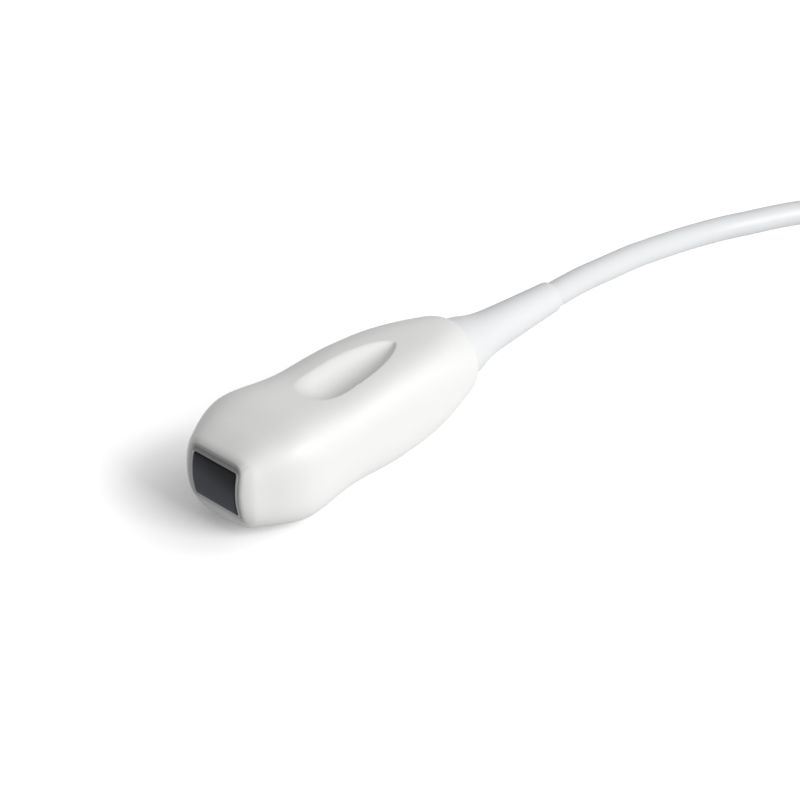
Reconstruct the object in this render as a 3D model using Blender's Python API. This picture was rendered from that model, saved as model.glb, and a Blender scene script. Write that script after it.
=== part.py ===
"""Ultrasound transducer probe: a phased-array hand probe on its cable, with the cable's system connector.

Metres, +Z up. The probe lies on its underside with its lens facing -X and its cable leaving towards +X.
The origin is under the middle of the probe, on the surface that it lies on.
"""

import math

import bpy
import bmesh
import numpy as np

# General clearances and walls
GAP = 0.0003  # between pieces that touch
FIT = 0.0003  # round a piece that slides into another
WALL = 0.0020  # housing wall
CIRCLE_STEPS = 24

# Nose: lens in its bezel, both crowned about a line across the probe
LENS_WIDTH, LENS_HEIGHT, LENS_CORNER = 0.0166, 0.0134, 0.0008
LENS_PROUD = 0.0002
LENS_BACK = 0.0008
RIM_WIDTH = 0.0008  # bezel's edge round the lens
BEZEL_WIDTH, BEZEL_HEIGHT = LENS_WIDTH + 2 * RIM_WIDTH, LENS_HEIGHT + 2 * RIM_WIDTH
BEZEL_CORNER = 0.0014
BEZEL_DEPTH = 0.0032
LAND_SIDE, LAND_TOP = 0.0006, 0.00145  # flat face of the housing round the bezel
FACE_WIDTH, FACE_HEIGHT = BEZEL_WIDTH + 2 * (FIT + LAND_SIDE), BEZEL_HEIGHT + 2 * (FIT + LAND_TOP)
FACE_CORNER = 0.0026
CROWN_RISE = 0.0018
CROWN_HEIGHT = FACE_HEIGHT
CROWN_FADE = 0.0060  # the housing follows the crown as far back as this
THROAT_DEPTH = 0.0064
SHOULDER_STEP = 0.0005
FLANGE_SIDE, FLANGE_TOP = 0.0044, 0.0028  # the carrier's flange reaches past the bezel by this
FLANGE_WIDTH, FLANGE_HEIGHT = BEZEL_WIDTH + 2 * FLANGE_SIDE, BEZEL_HEIGHT + 2 * FLANGE_TOP
FLANGE_THICKNESS = 0.0020
FLANGE_SPACE = 0.0016  # inside the housing's shoulder

# Housing: length, then width and height at each station from nose to tail
HOUSING_LENGTH = 0.0935
NOSE_SPREAD_SIDE, NOSE_SPREAD_TOP = 0.0021, 0.0035  # behind the nose face's rounding
NOSE_WIDTH = FACE_WIDTH + 2 * NOSE_SPREAD_SIDE
NOSE_HEIGHT = FACE_HEIGHT + 2 * NOSE_SPREAD_TOP
SHOULDER_WIDTH = FLANGE_WIDTH + 2 * (WALL + FLANGE_SPACE)
SHOULDER_HEIGHT = FLANGE_HEIGHT + 2 * (WALL + FLANGE_SPACE)
HEAD_SWELL_SIDE, HEAD_SWELL_TOP = 0.0028, 0.0016
HEAD_WIDTH = SHOULDER_WIDTH + 2 * HEAD_SWELL_SIDE
HEAD_HEIGHT = SHOULDER_HEIGHT + 2 * HEAD_SWELL_TOP
CHEEK_WIDTH, CHEEK_HEIGHT = 0.0392, 0.0308
WAIST_WIDTH, WAIST_HEIGHT = 0.0373, 0.0290
GRIP_WIDTH, GRIP_HEIGHT = 0.0370, 0.0305
PALM_WIDTH, PALM_HEIGHT = 0.0364, 0.0314
HEEL_WIDTH, HEEL_HEIGHT = 0.0348, 0.0311
ANKLE_WIDTH, ANKLE_HEIGHT = 0.0308, 0.0286
TAIL_WIDTH, TAIL_HEIGHT = 0.0257, 0.0244
STATIONS = (  # place along the length as a share of it, width, height
    (0.0, NOSE_WIDTH, NOSE_HEIGHT),
    (0.086, SHOULDER_WIDTH, SHOULDER_HEIGHT),
    (0.171, HEAD_WIDTH, HEAD_HEIGHT),
    (0.267, CHEEK_WIDTH, CHEEK_HEIGHT),
    (0.385, WAIST_WIDTH, WAIST_HEIGHT),
    (0.513, GRIP_WIDTH, GRIP_HEIGHT),
    (0.642, PALM_WIDTH, PALM_HEIGHT),
    (0.770, HEEL_WIDTH, HEEL_HEIGHT),
    (0.888, ANKLE_WIDTH, ANKLE_HEIGHT),
    (1.0, TAIL_WIDTH, TAIL_HEIGHT),
)
NOSE_SQUARENESS, PALM_SQUARENESS, TAIL_SQUARENESS = 3.6, 3.3, 2.1  # 2 is an ellipse
NOSE_ROUND = 0.0030  # length of the rounding behind the nose face
BROW_LENGTH, BROW_DROP = 0.0090, 0.0030  # the top slopes down to the nose face, flatter across
BROW_SQUARENESS = 1.2
TAIL_ROUND = 0.0022
TAIL_END_RADIUS = 0.0118
LIP_THICKNESS, LIP_HEIGHT = 0.0008, 0.0012  # lap joint inside the parting line

# Thumb dimple in the top: broad and soft in front, narrowing to a blunt rear end
DIMPLE_START, DIMPLE_END = 0.0320, 0.0676
DIMPLE_WIDTH, DIMPLE_DEPTH = 0.0152, 0.0030
DIMPLE_SIDE = -0.0014  # middle line, off the probe's middle
DIMPLE_BROADEST = 0.30  # as a share of its length
DIMPLE_DEEPEST = 0.50

# Acoustic stack behind the lens
MATCHING_THICKNESS = 0.0005
PIEZO_THICKNESS = 0.0007
ELEMENT_COUNT = 24
KERF = 0.00018
FLEX_THICKNESS, FLEX_MARGIN = 0.00025, 0.0005
BACKING_MARGIN = 0.0004  # inside the lens's width
BACKING_WIDTH, BACKING_HEIGHT = LENS_WIDTH - 2 * BACKING_MARGIN, LENS_HEIGHT - 4 * BACKING_MARGIN
BACKING_DEPTH = 0.0110
CARRIER_WALL = 0.0007
CARRIER_DEPTH = 0.0125
GASKET_THICKNESS, GASKET_MARGIN = 0.0006, 0.0010

# Chassis, boards and what they carry
CHASSIS_WIDTH, CHASSIS_THICKNESS = 0.0220, 0.0016
NOTCH_AHEAD = 0.0032  # of the cable's end
BOARD_WIDTH, BOARD_THICKNESS = CHASSIS_WIDTH - 0.0010, 0.0012
RIBBON_SPACE = 0.0090  # between the boards and the cable's end
BOARD_SETBACK = 0.0027  # from the chassis's front edge
BOSS_RADIUS, BOSS_HEIGHT = 0.0017, 0.0015
BOSS_INSET = 0.0024  # from a board's edges
SOCKET_LENGTH, SOCKET_WIDTH, SOCKET_HEIGHT = 0.0050, 0.0150, 0.0017
SOCKET_INSET = 0.0048
SHIELD_SHEET, SHIELD_MARGIN = 0.0004, 0.0006
SHIELD_SPACE = 0.0004  # between the shield and a socket
SHIELD_SHARE = 0.131  # shield's height as a share of the housing's at the grip
CHIP_SPACE = 0.0012
CHIP_SHARE_LENGTH, CHIP_SHARE_HEIGHT = 0.35, 0.30  # of the shield's
SCREW_HEAD_RADIUS, SCREW_HEAD_HEIGHT, SCREW_RADIUS = 0.0016, 0.0010, 0.0008

# Cable, its clamp and its bend-relief boot
CABLE_DIAMETER = 0.0085
FERRULE_LENGTH, FERRULE_WALL = 0.0032, 0.0005
CLAMP_LENGTH, CLAMP_HEIGHT = 0.0080, 0.0056
CLAMP_SCREW_RADIUS, CLAMP_HEAD_RADIUS, CLAMP_HEAD_HEIGHT = 0.0010, 0.0019, 0.0013
BORE_RADIUS, BORE_DEPTH = 0.0080, 0.0045  # opening in the housing's tail
BOOT_FLANGE_RADIUS, BOOT_FLANGE_THICKNESS = 0.0098, 0.0021
BOOT_LENGTH = 0.0474  # outside the housing
BOOT_SHAPE = (  # share of the outside length, radius
    (0.0, 0.0106),
    (0.04, 0.0102),
    (0.085, 0.0097),
    (0.14, 0.0092),
    (0.20, 0.0084),
    (0.30, 0.0073),
    (0.47, 0.0065),
    (0.72, 0.0058),
    (1.0, 0.0051),
)
SEAL_RADIUS = 0.0005

CABLE_REACH = 0.0225  # from the housing's tail to the cable's end inside it

# Cable on the table: the points of its route from the boot to the hank
CABLE_ROUTE = (
    (0.0915, 0.0019, 0.01375),
    (0.1056, 0.0029, 0.01185),
    (0.1203, 0.0042, 0.0096),
    (0.1343, 0.0045, 0.0074),
    (0.1472, 0.0039, 0.0057),
    (0.1588, 0.0021, 0.0047),
    (0.1689, -0.0009, 0.00432),
    (0.1779, -0.0047, 0.00428),
    (0.1872, -0.0086, 0.00428),
    (0.1955, -0.0128, 0.00428),
    (0.2102, -0.0215, 0.00428),
    (0.2252, -0.0320, 0.00428),
    (0.2307, -0.0359, 0.00428),
)
# Hank: turns side by side and on each other, drawn in to a waist under a strap
HANK_X, HANK_Y = 0.2700, -0.0190  # middle of the near end loops
HANK_RUN = 0.1275
HANK_LOOP_RADIUS = 0.0255  # middle of the innermost turn's end loops
HANK_WAIST = 0.00425  # middle of the innermost turn at the waist
TURNS_WIDE, TURNS_HIGH = 2, 2
STRAP_WIDTH, STRAP_THICKNESS = 0.0130, 0.0012
LEAD_ROUTE = (  # from the hank's top turn to the connector
    (0.2560, -0.0522, 0.0217),
    (0.2700, -0.0530, 0.0218),
    (0.2850, -0.0519, 0.0224),
    (0.3000, -0.0460, 0.0240),
    (0.3120, -0.0355, 0.0262),
    (0.3220, -0.0255, 0.0277),
    (0.3320, -0.0196, 0.0283),
)

# System connector, lying on the hank
CONNECTOR_X, CONNECTOR_Y = 0.3605, -0.0190  # middle of the shell's cable end
CONNECTOR_LENGTH, CONNECTOR_WIDTH, CONNECTOR_HEIGHT = 0.0600, 0.0540, 0.0220
CONNECTOR_TAPER = 0.0060  # how much narrower each side is at the cable end
CONNECTOR_CORNER = 0.0040
CONNECTOR_WALL = 0.0020
SHROUD_WIDTH, SHROUD_HEIGHT, SHROUD_SHEET = 0.0460, 0.0150, 0.0010
SHROUD_PROUD, SHROUD_INSIDE = 0.0100, 0.0080
SHROUD_CORNER = 0.0020
INSERT_SETBACK, INSERT_DEPTH = 0.0030, 0.0140
CONTACT_COLUMNS, CONTACT_ROWS = 12, 3
CONTACT_PITCH_Y, CONTACT_PITCH_Z, CONTACT_SIZE = 0.0030, 0.0034, 0.0014
CONTACT_DEPTH = 0.0060
PLUG_BOARD_WIDTH, PLUG_BOARD_THICKNESS = 0.0380, 0.0016
PLUG_BOOT_LENGTH, PLUG_BOOT_RADIUS = 0.0180, 0.0075
PLUG_BOOT_NECK, PLUG_BOOT_TIP = 0.0062, 0.0052
PLUG_FLANGE_RADIUS, PLUG_FLANGE_THICKNESS = 0.0082, 0.0022
PLUG_SCREW_INSET = 0.0070

CABLE_RADIUS = CABLE_DIAMETER / 2
LENS_FRONT = -(CROWN_RISE + LENS_PROUD)
PROBE_END = HOUSING_LENGTH + GAP + BOOT_LENGTH
NOSE_X = -(PROBE_END + LENS_FRONT) / 2  # the nose face's place along the world's X
CABLE_START = HOUSING_LENGTH - CABLE_REACH
CABLE_INNER_END = NOSE_X + CABLE_START
HALF_PARTING = GAP / 2


# Scene, materials and objects

def clear_scene():
    for thing in list(bpy.data.objects):
        bpy.data.objects.remove(thing, do_unlink=True)


def make_material(name, colour, roughness, metallic=0.0):
    made = bpy.data.materials.new(name)
    made.use_nodes = True
    shader = made.node_tree.nodes["Principled BSDF"]
    shader.inputs["Base Color"].default_value = (*colour, 1.0)
    shader.inputs["Roughness"].default_value = roughness
    shader.inputs["Metallic"].default_value = metallic
    return made


def add_object(name, bm, colour_name, parent=None):
    """Closes a bmesh into a named object whose faces point outwards."""
    bmesh.ops.recalc_face_normals(bm, faces=bm.faces)
    mesh = bpy.data.meshes.new(name)
    bm.to_mesh(mesh)
    bm.free()
    mesh.shade_smooth()
    mesh.set_sharp_from_angle(angle=math.radians(32))
    thing = bpy.data.objects.new(name, mesh)
    bpy.context.scene.collection.objects.link(thing)
    thing.data.materials.append(MATERIALS[colour_name])
    thing.parent = parent
    return thing


def add_empty(name, place):
    empty = bpy.data.objects.new(name, None)
    empty.location = place
    bpy.context.scene.collection.objects.link(empty)
    return empty


def cut(thing, cutter):
    """Takes the cutter's shape out of a piece."""
    cutter.hide_render = True
    cutter.display_type = "WIRE"
    boolean = thing.modifiers.new("cut_" + cutter.name, "BOOLEAN")
    boolean.operation = "DIFFERENCE"
    boolean.solver = "EXACT"
    boolean.object = cutter


# Shapes

def spline(places, values):
    """A smooth curve through the values: a cubic spline whose end pieces run on."""
    x, y = np.array(places, float), np.array(values, float)
    step, rise = np.diff(x), np.diff(y) / np.diff(x)
    n = len(x)
    rows, right = np.zeros((n, n)), np.zeros(n)
    for i in range(1, n - 1):
        rows[i, i - 1 : i + 2] = step[i - 1], 2 * (step[i - 1] + step[i]), step[i]
        right[i] = 6 * (rise[i] - rise[i - 1])
    rows[0, :3] = step[1], -(step[0] + step[1]), step[0]
    rows[-1, -3:] = step[-1], -(step[-2] + step[-1]), step[-2]
    bend = np.linalg.solve(rows, right)

    def read(at):
        i = int(np.clip(np.searchsorted(x, at) - 1, 0, n - 2))
        a, b, h = x[i + 1] - at, at - x[i], step[i]
        curve = (bend[i] * a**3 + bend[i + 1] * b**3) / (6 * h)
        return curve + (y[i] / h - bend[i] * h / 6) * a + (y[i + 1] / h - bend[i + 1] * h / 6) * b

    return read


def smooth_line(points, spacing):
    """Points at an even spacing on a smooth curve through the given points."""
    points = np.array(points, float)
    lengths = np.concatenate([[0.0], np.cumsum(np.linalg.norm(np.diff(points, axis=0), axis=1))])
    axes = [spline(lengths, points[:, k]) for k in range(3)]
    count = max(2, round(lengths[-1] / spacing))
    return [[axis(lengths[-1] * i / count) for axis in axes] for i in range(count + 1)]


def skin(rings, ends_closed=True):
    """Joins rings of points, each with as many as the next, into one closed surface."""
    bm = bmesh.new()
    loops = [[bm.verts.new(point) for point in ring] for ring in rings]
    pairs = list(zip(loops, loops[1:]))
    if not ends_closed:
        pairs.append((loops[-1], loops[0]))
    for first, second in pairs:
        for i in range(len(first)):
            j = (i + 1) % len(first)
            bm.faces.new((first[i], first[j], second[j], second[i]))
    if ends_closed:
        bm.faces.new(loops[0])
        bm.faces.new(loops[-1])
    return bm


def rounded_rectangle(width, height, corner, steps=4):
    """Corner by corner, from +Y: (y, z) points of a rectangle with round corners."""
    points = []
    for turn, (side_y, side_z) in enumerate(((1, 1), (-1, 1), (-1, -1), (1, -1))):
        for i in range(steps):
            angle = math.radians(90 * (turn + i / (steps - 1)))
            points.append(
                (
                    side_y * (width / 2 - corner) + corner * math.cos(angle),
                    side_z * (height / 2 - corner) + corner * math.sin(angle),
                )
            )
    return points


def box(low, high):
    bm = bmesh.new()
    bmesh.ops.create_cube(bm, size=1.0)
    for v in bm.verts:
        v.co = [low[k] if v.co[k] < 0 else high[k] for k in range(3)]
    return bm


def slab(x0, x1, width, z0, z1):
    """A block across the probe's middle."""
    return box((x0, -width / 2, z0), (x1, width / 2, z1))


def prism(outline, x0, x1):
    """An outline of (y, z) points, extruded along X."""
    return skin([[(x, y, z) for y, z in outline] for x in (x0, x1)])


def plate(outline, z0, z1):
    """An outline of (x, y) points, extruded along Z."""
    return skin([[(x, y, z) for x, y in outline] for z in (z0, z1)])


def turned(profile, steps=CIRCLE_STEPS, axis="X", centre=(0.0, 0.0, 0.0)):
    """A closed profile of (along, radius) points, turned about an axis through centre."""
    rings = []
    for i in range(steps):
        c, s = math.cos(2 * math.pi * i / steps), math.sin(2 * math.pi * i / steps)
        if axis == "X":
            ring = [(centre[0] + a, centre[1] + r * c, centre[2] + r * s) for a, r in profile]
        else:
            ring = [(centre[0] + r * c, centre[1] + r * s, centre[2] + a) for a, r in profile]
        rings.append(ring)
    return skin(rings, ends_closed=False)


def rod(radii, steps=CIRCLE_STEPS, axis="X", centre=(0.0, 0.0, 0.0)):
    """A solid of (along, radius) steps about an axis through centre."""
    rings = []
    for a, r in radii:
        ring = []
        for i in range(steps):
            c, s = r * math.cos(2 * math.pi * i / steps), r * math.sin(2 * math.pi * i / steps)
            if axis == "X":
                ring.append((centre[0] + a, centre[1] + c, centre[2] + s))
            else:
                ring.append((centre[0] + c, centre[1] + s, centre[2] + a))
        rings.append(ring)
    return skin(rings)


def add_tube(name, route, colour_name, before=(), after=()):
    """A round cable along a smooth curve through its route, with straight ends where it has them."""
    curve = bpy.data.curves.new(name, "CURVE")
    curve.dimensions = "3D"
    curve.bevel_depth = CABLE_RADIUS
    curve.bevel_resolution = 2
    curve.use_fill_caps = True
    route = list(before[-1:]) + list(route) + list(after[:1])
    points = list(before[:-1]) + smooth_line(route, 2.4 * CABLE_DIAMETER) + list(after[1:])
    line = curve.splines.new("POLY")
    line.points.add(len(points) - 1)
    for at, point in zip(line.points, points):
        at.co = (*point, 1.0)
    thing = bpy.data.objects.new(name, curve)
    bpy.context.scene.collection.objects.link(thing)
    curve.materials.append(MATERIALS[colour_name])
    return thing


# Housing form

HALF_WIDTH = spline([s[0] * HOUSING_LENGTH for s in STATIONS], [s[1] / 2 for s in STATIONS])
HALF_HEIGHT = spline([s[0] * HOUSING_LENGTH for s in STATIONS], [s[2] / 2 for s in STATIONS])
PALM_PLACE = 0.6 * HOUSING_LENGTH


def squareness(x):
    places = (0.0, PALM_PLACE, HOUSING_LENGTH)
    return float(np.interp(x, places, (NOSE_SQUARENESS, PALM_SQUARENESS, TAIL_SQUARENESS)))


def curve_radius(half_width, half_height, power, c, s):
    """Distance from the axis to a rounded section in the direction (c, s)."""
    return (abs(c / half_width) ** power + abs(s / half_height) ** power) ** (-1 / power)


def rectangle_radius(half_width, half_height, corner, c, s):
    """Distance from the axis to a rectangle with round corners in the direction (c, s)."""
    c, s = abs(c), abs(s)
    flat_y, flat_z = half_width - corner, half_height - corner
    if c * flat_z > s * half_width:
        return half_width / c
    if s * flat_y > c * half_height:
        return half_height / s
    return flat_y * c + flat_z * s + math.sqrt(corner**2 - (flat_y * s - flat_z * c) ** 2)


def housing_radius(x, c, s):
    """Distance from the axis to the housing's outside, with nose and tail rounded."""
    brow = max(0.0, 1 - x / BROW_LENGTH) ** 2 if s > 0 else 0.0
    high, power = HALF_HEIGHT(x) - BROW_DROP * brow, squareness(x) + BROW_SQUARENESS * brow
    radius = curve_radius(HALF_WIDTH(x), high, power, c, s)
    if x < NOSE_ROUND:
        share = math.sqrt(1 - (1 - x / NOSE_ROUND) ** 2)
        edge = rectangle_radius(FACE_WIDTH / 2, FACE_HEIGHT / 2, FACE_CORNER, c, s)
        return edge + (radius - edge) * share
    past = (x - HOUSING_LENGTH + TAIL_ROUND) / TAIL_ROUND
    if past > 0:
        share = math.sqrt(max(0.0, 1 - past**2))
        return TAIL_END_RADIUS + (radius - TAIL_END_RADIUS) * share
    return radius


def directions(count):
    """Directions over the top, from +Y to -Y."""
    turned = [math.pi * i / (count - 1) for i in range(count)]
    pairs = [(math.cos(a), math.sin(a)) for a in turned]
    return [(0.0 if abs(c) < 1e-9 else c, 0.0 if abs(s) < 1e-9 else s) for c, s in pairs]


def arc_of(half_width, half_height, power, count):
    """Points over the top of a rounded section, from +Y to -Y."""
    points = []
    for c, s in directions(count):
        radius = curve_radius(half_width, half_height, power, c, s)
        points.append((radius * c, radius * s))
    return points


def outside_arc(x, side):
    """Half of the outside, from +Y to -Y, with its heights upwards for either half."""
    points = []
    for c, s in directions(29):
        radius = housing_radius(x, c, side * s)
        points.append((radius * c, radius * s))
    return points


def crown(z):
    """How far the nose stands forward at a height: it bulges about a line across the probe."""
    return CROWN_RISE * max(0.0, 1 - (2 * z / CROWN_HEIGHT) ** 2)


def arch(half_width, half_height, corner):
    """Fifteen points over the top of a rectangle with round corners, from +Y to -Y."""
    side = [(half_width, 0.0), (half_width, (half_height - corner) / 2)]
    for i in range(4):
        angle = math.radians(30 * i)
        side.append(
            (
                half_width - corner + corner * math.cos(angle),
                half_height - corner + corner * math.sin(angle),
            )
        )
    side.append(((half_width - corner) / 2, half_height))
    return side + [(0.0, half_height)] + [(-y, z) for y, z in reversed(side)]


def dimple_breadth(share):
    """Breadth at a share of the dimple's length, as a share of its greatest."""
    if not 0 < share < 1:
        return 0.0
    if share < DIMPLE_BROADEST:
        return (1 - (1 - share / DIMPLE_BROADEST) ** 2.6) ** (1 / 2.6)
    return (1 - ((share - DIMPLE_BROADEST) / (1 - DIMPLE_BROADEST)) ** 2.4) ** 0.55


def dimple_half_width(x):
    share = (x - DIMPLE_START) / (DIMPLE_END - DIMPLE_START)
    return DIMPLE_WIDTH / 2 * dimple_breadth(share)


def dimple_depth(x):
    share = (x - DIMPLE_START) / (DIMPLE_END - DIMPLE_START)
    rise = math.sin(math.pi / 2 * min(1.0, max(0.0, share) / DIMPLE_DEEPEST))
    return DIMPLE_DEPTH * rise * dimple_breadth(share)


def top_height(x, y):
    """Height of the housing's top above the axis, without the dimple."""
    width, height = HALF_WIDTH(x), HALF_HEIGHT(x)
    power = squareness(x)
    return height * (1 - min(0.999, abs(y) / width) ** power) ** (1 / power)


def shell_section(outer, inner, side, thickness):
    """One half's section: outside arc, lap step, inside arc, lap step."""
    lip = min(LIP_THICKNESS, 0.4 * thickness)
    clear = min(FIT, 0.3 * thickness)
    if side > 0:
        edge, step_y, step_z = HALF_PARTING, lip + clear, LIP_HEIGHT + GAP
    else:
        edge, step_y, step_z = -HALF_PARTING, lip, LIP_HEIGHT
    outside = [(y, side * z) for y, z in outer]
    outside[0], outside[-1] = (outside[0][0], edge), (outside[-1][0], edge)
    inside = [(y, side * z) for y, z in reversed(inner)]
    inside[0], inside[-1] = (inside[0][0], step_z), (inside[-1][0], step_z)
    inside_y = inner[0][0]
    left = [(-inside_y - step_y, edge), (-inside_y - step_y, step_z)]
    right = [(inside_y + step_y, step_z), (inside_y + step_y, edge)]
    return outside + left + inside + right


def housing_places():
    """Where the housing's sections stand: close together at the roundings."""
    nose = [NOSE_ROUND * (1 - math.cos(math.radians(a))) for a in (0, 20, 40, 58, 74, 90)]
    tail = [
        HOUSING_LENGTH - TAIL_ROUND * (1 - math.sin(math.radians(a))) for a in (0, 30, 60, 90)
    ]
    throat = [0.0048, THROAT_DEPTH, THROAT_DEPTH + SHOULDER_STEP]
    rear = [HOUSING_LENGTH - BORE_DEPTH - 0.0012, HOUSING_LENGTH - BORE_DEPTH]
    start, end = throat[-1] + 0.0018, rear[0] - 0.0026
    count = round((end - start) / 0.0043)
    middle = [start + (end - start) * i / count for i in range(count + 1)]
    return sorted(nose + throat + middle + rear + [x for x in tail if x > rear[-1] + 0.0004])


def housing_inside(x, side):
    """The hollow's arc: the nose throat, the cavity or the tail bore."""
    if x <= THROAT_DEPTH + 1e-9:
        return arch(BEZEL_WIDTH / 2 + FIT, BEZEL_HEIGHT / 2 + FIT, BEZEL_CORNER)
    if x >= HOUSING_LENGTH - BORE_DEPTH - 1e-9:
        return arc_of(BORE_RADIUS, BORE_RADIUS, 2.0, 15)
    width, height = HALF_WIDTH(x), HALF_HEIGHT(x)
    arc = arc_of(width - WALL, height - WALL, squareness(x), 15)
    if side < 0:
        return arc
    lowered = []
    for y, z in arc:
        near = (x - 0.003, x, x + 0.003)
        wide = max(dimple_half_width(place) for place in near) + 0.003
        depth = max(dimple_depth(place) for place in near) if abs(y - DIMPLE_SIDE) < wide else 0.0
        lowered.append((y, min(z, top_height(x, y) - WALL - depth) if depth else z))
    return lowered


def make_shell(name, side, parent):
    rings = []
    for x in housing_places():
        outer, inner = outside_arc(x, side), housing_inside(x, side)
        section = shell_section(outer, inner, side, outer[0][0] - inner[0][0])
        fade = max(0.0, 1 - x / CROWN_FADE) ** 2
        rings.append([(x - crown(z) * fade, y, z) for y, z in section])
    return add_object(name, skin(rings), "housing", parent)


def make_dimple(parent):
    """The thumb dimple's cutter: a row of parabolic sections, closer together at its ends."""
    rings = []
    above = HEAD_HEIGHT
    count = 16
    for k in range(1, count):
        share = (1 - math.cos(math.pi * k / count)) / 2
        x = DIMPLE_START + share * (DIMPLE_END - DIMPLE_START)
        half, depth = dimple_half_width(x), dimple_depth(x)
        ring = [(x, DIMPLE_SIDE + 1.15 * half, above)]
        for i in range(13):
            across = 1.15 * (1 - i / 6)
            y = DIMPLE_SIDE + half * across
            ring.append((x, y, top_height(x, y) - depth * (1 - across**2)))
        ring.append((x, DIMPLE_SIDE - 1.15 * half, above))
        rings.append(ring)
    return add_object("dimple_cutter", skin(rings), "housing", parent)


AXIS_Z = max(HALF_HEIGHT(HOUSING_LENGTH * i / 400) for i in range(401))


# Nose and acoustic stack

def crowned(points, x_back, proud):
    """A block with the outline given, whose front bulges about a line across the probe."""
    front = []
    for y, z in points:
        front.append((-proud - crown(z), y, z))
    return front, [(x_back, y, z) for y, z in points]


def side_points(width, height, corner, steps):
    """A rounded rectangle whose upright sides are divided, so that they can bulge."""
    points = rounded_rectangle(width, height, corner, 3)
    divided = []
    for i, (y, z) in enumerate(points):
        divided.append((y, z))
        next_y, next_z = points[(i + 1) % len(points)]
        if abs(next_y - y) < 1e-9 and abs(next_z - z) > corner:
            divided += [(y, z + (next_z - z) * k / steps) for k in range(1, steps)]
    return divided


def make_bezel(parent):
    outer = side_points(BEZEL_WIDTH, BEZEL_HEIGHT, BEZEL_CORNER, 8)
    inner = side_points(LENS_WIDTH + 2 * FIT, LENS_HEIGHT + 2 * FIT, LENS_CORNER, 8)
    outer_front, outer_back = crowned(outer, BEZEL_DEPTH, 0.0)
    inner_front, inner_back = crowned(inner, BEZEL_DEPTH, 0.0)
    rings = [outer_front, outer_back, inner_back, inner_front]
    return add_object("nose_bezel", skin(rings, ends_closed=False), "bezel", parent)


def make_lens(parent):
    """Silicone lens: strips across the probe make its cylindrical front."""
    bm = bmesh.new()
    outline = side_points(LENS_WIDTH, LENS_HEIGHT, LENS_CORNER, 10)
    front, back = crowned(outline, LENS_BACK, LENS_PROUD)
    front, back = [bm.verts.new(p) for p in front], [bm.verts.new(p) for p in back]
    count = len(outline)
    for i in range(count):
        j = (i + 1) % count
        bm.faces.new((front[i], front[j], back[j], back[i]))
    bm.faces.new(back)
    order = sorted(range(count), key=lambda i: (round(outline[i][1], 7), outline[i][0]))
    rows = [order[i : i + 2] for i in range(0, count, 2)]
    for (a, b), (c, d) in zip(rows, rows[1:]):
        bm.faces.new((front[a], front[b], front[d], front[c]))
    return add_object("acoustic_lens", bm, "lens", parent)


def make_stack(parent):
    """Matching layers, diced piezo array, backing block and the two flex circuits."""
    x = LENS_BACK + GAP
    for name in ("outer_matching_layer", "inner_matching_layer"):
        width, height = LENS_WIDTH - 2 * FIT, LENS_HEIGHT - 2 * FIT
        outline = rounded_rectangle(width, height, LENS_CORNER)
        add_object(name, prism(outline, x, x + MATCHING_THICKNESS), name, parent)
        x += MATCHING_THICKNESS + GAP
    make_piezo(x, parent)
    x += PIEZO_THICKNESS + GAP
    flex_x = x
    x += FLEX_THICKNESS + GAP
    backing = slab(x, x + BACKING_DEPTH, BACKING_WIDTH, -BACKING_HEIGHT / 2, BACKING_HEIGHT / 2)
    add_object("backing_block", backing, "backing", parent)
    for side, name in ((1, "flex_circuit_upper"), (-1, "flex_circuit_lower")):
        make_flex(name, side, flex_x, parent)
    return x


def make_piezo(x, parent):
    """One ceramic plate, diced from the front into elements side by side across the probe."""
    width, height = BACKING_WIDTH, BACKING_HEIGHT
    floor = x + PIEZO_THICKNESS
    root = floor - 0.25 * PIEZO_THICKNESS
    pitch = width / ELEMENT_COUNT
    outline = [(floor, -width / 2)]
    for i in range(ELEMENT_COUNT):
        left = -width / 2 + i * pitch + (KERF / 2 if i else 0.0)
        right = -width / 2 + (i + 1) * pitch - (KERF / 2 if i < ELEMENT_COUNT - 1 else 0.0)
        if i:
            outline.append((root, left))
        outline += [(x, left), (x, right)]
        if i < ELEMENT_COUNT - 1:
            outline.append((root, right))
    outline.append((floor, width / 2))
    add_object("piezo_array", plate(outline, -height / 2, height / 2), "piezo", parent)


def make_flex(name, side, x, parent):
    """A flex circuit: its foot lies behind the array, its tail runs back to the board's socket."""
    t, level = FLEX_THICKNESS, flex_level()
    end = socket_places()[0] + SOCKET_LENGTH
    path = [
        (x, GAP / 2), (x, level + t), (end, level + t), (end, level), (x + t, level), (x + t, GAP / 2),
    ]
    width = BACKING_WIDTH - 2 * FLEX_MARGIN
    rings = [[(px, y, side * pz) for px, pz in path] for y in (-width / 2, width / 2)]
    add_object(name, skin(rings), "flex", parent)


def flex_level():
    return BACKING_HEIGHT / 2 + GAP


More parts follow.
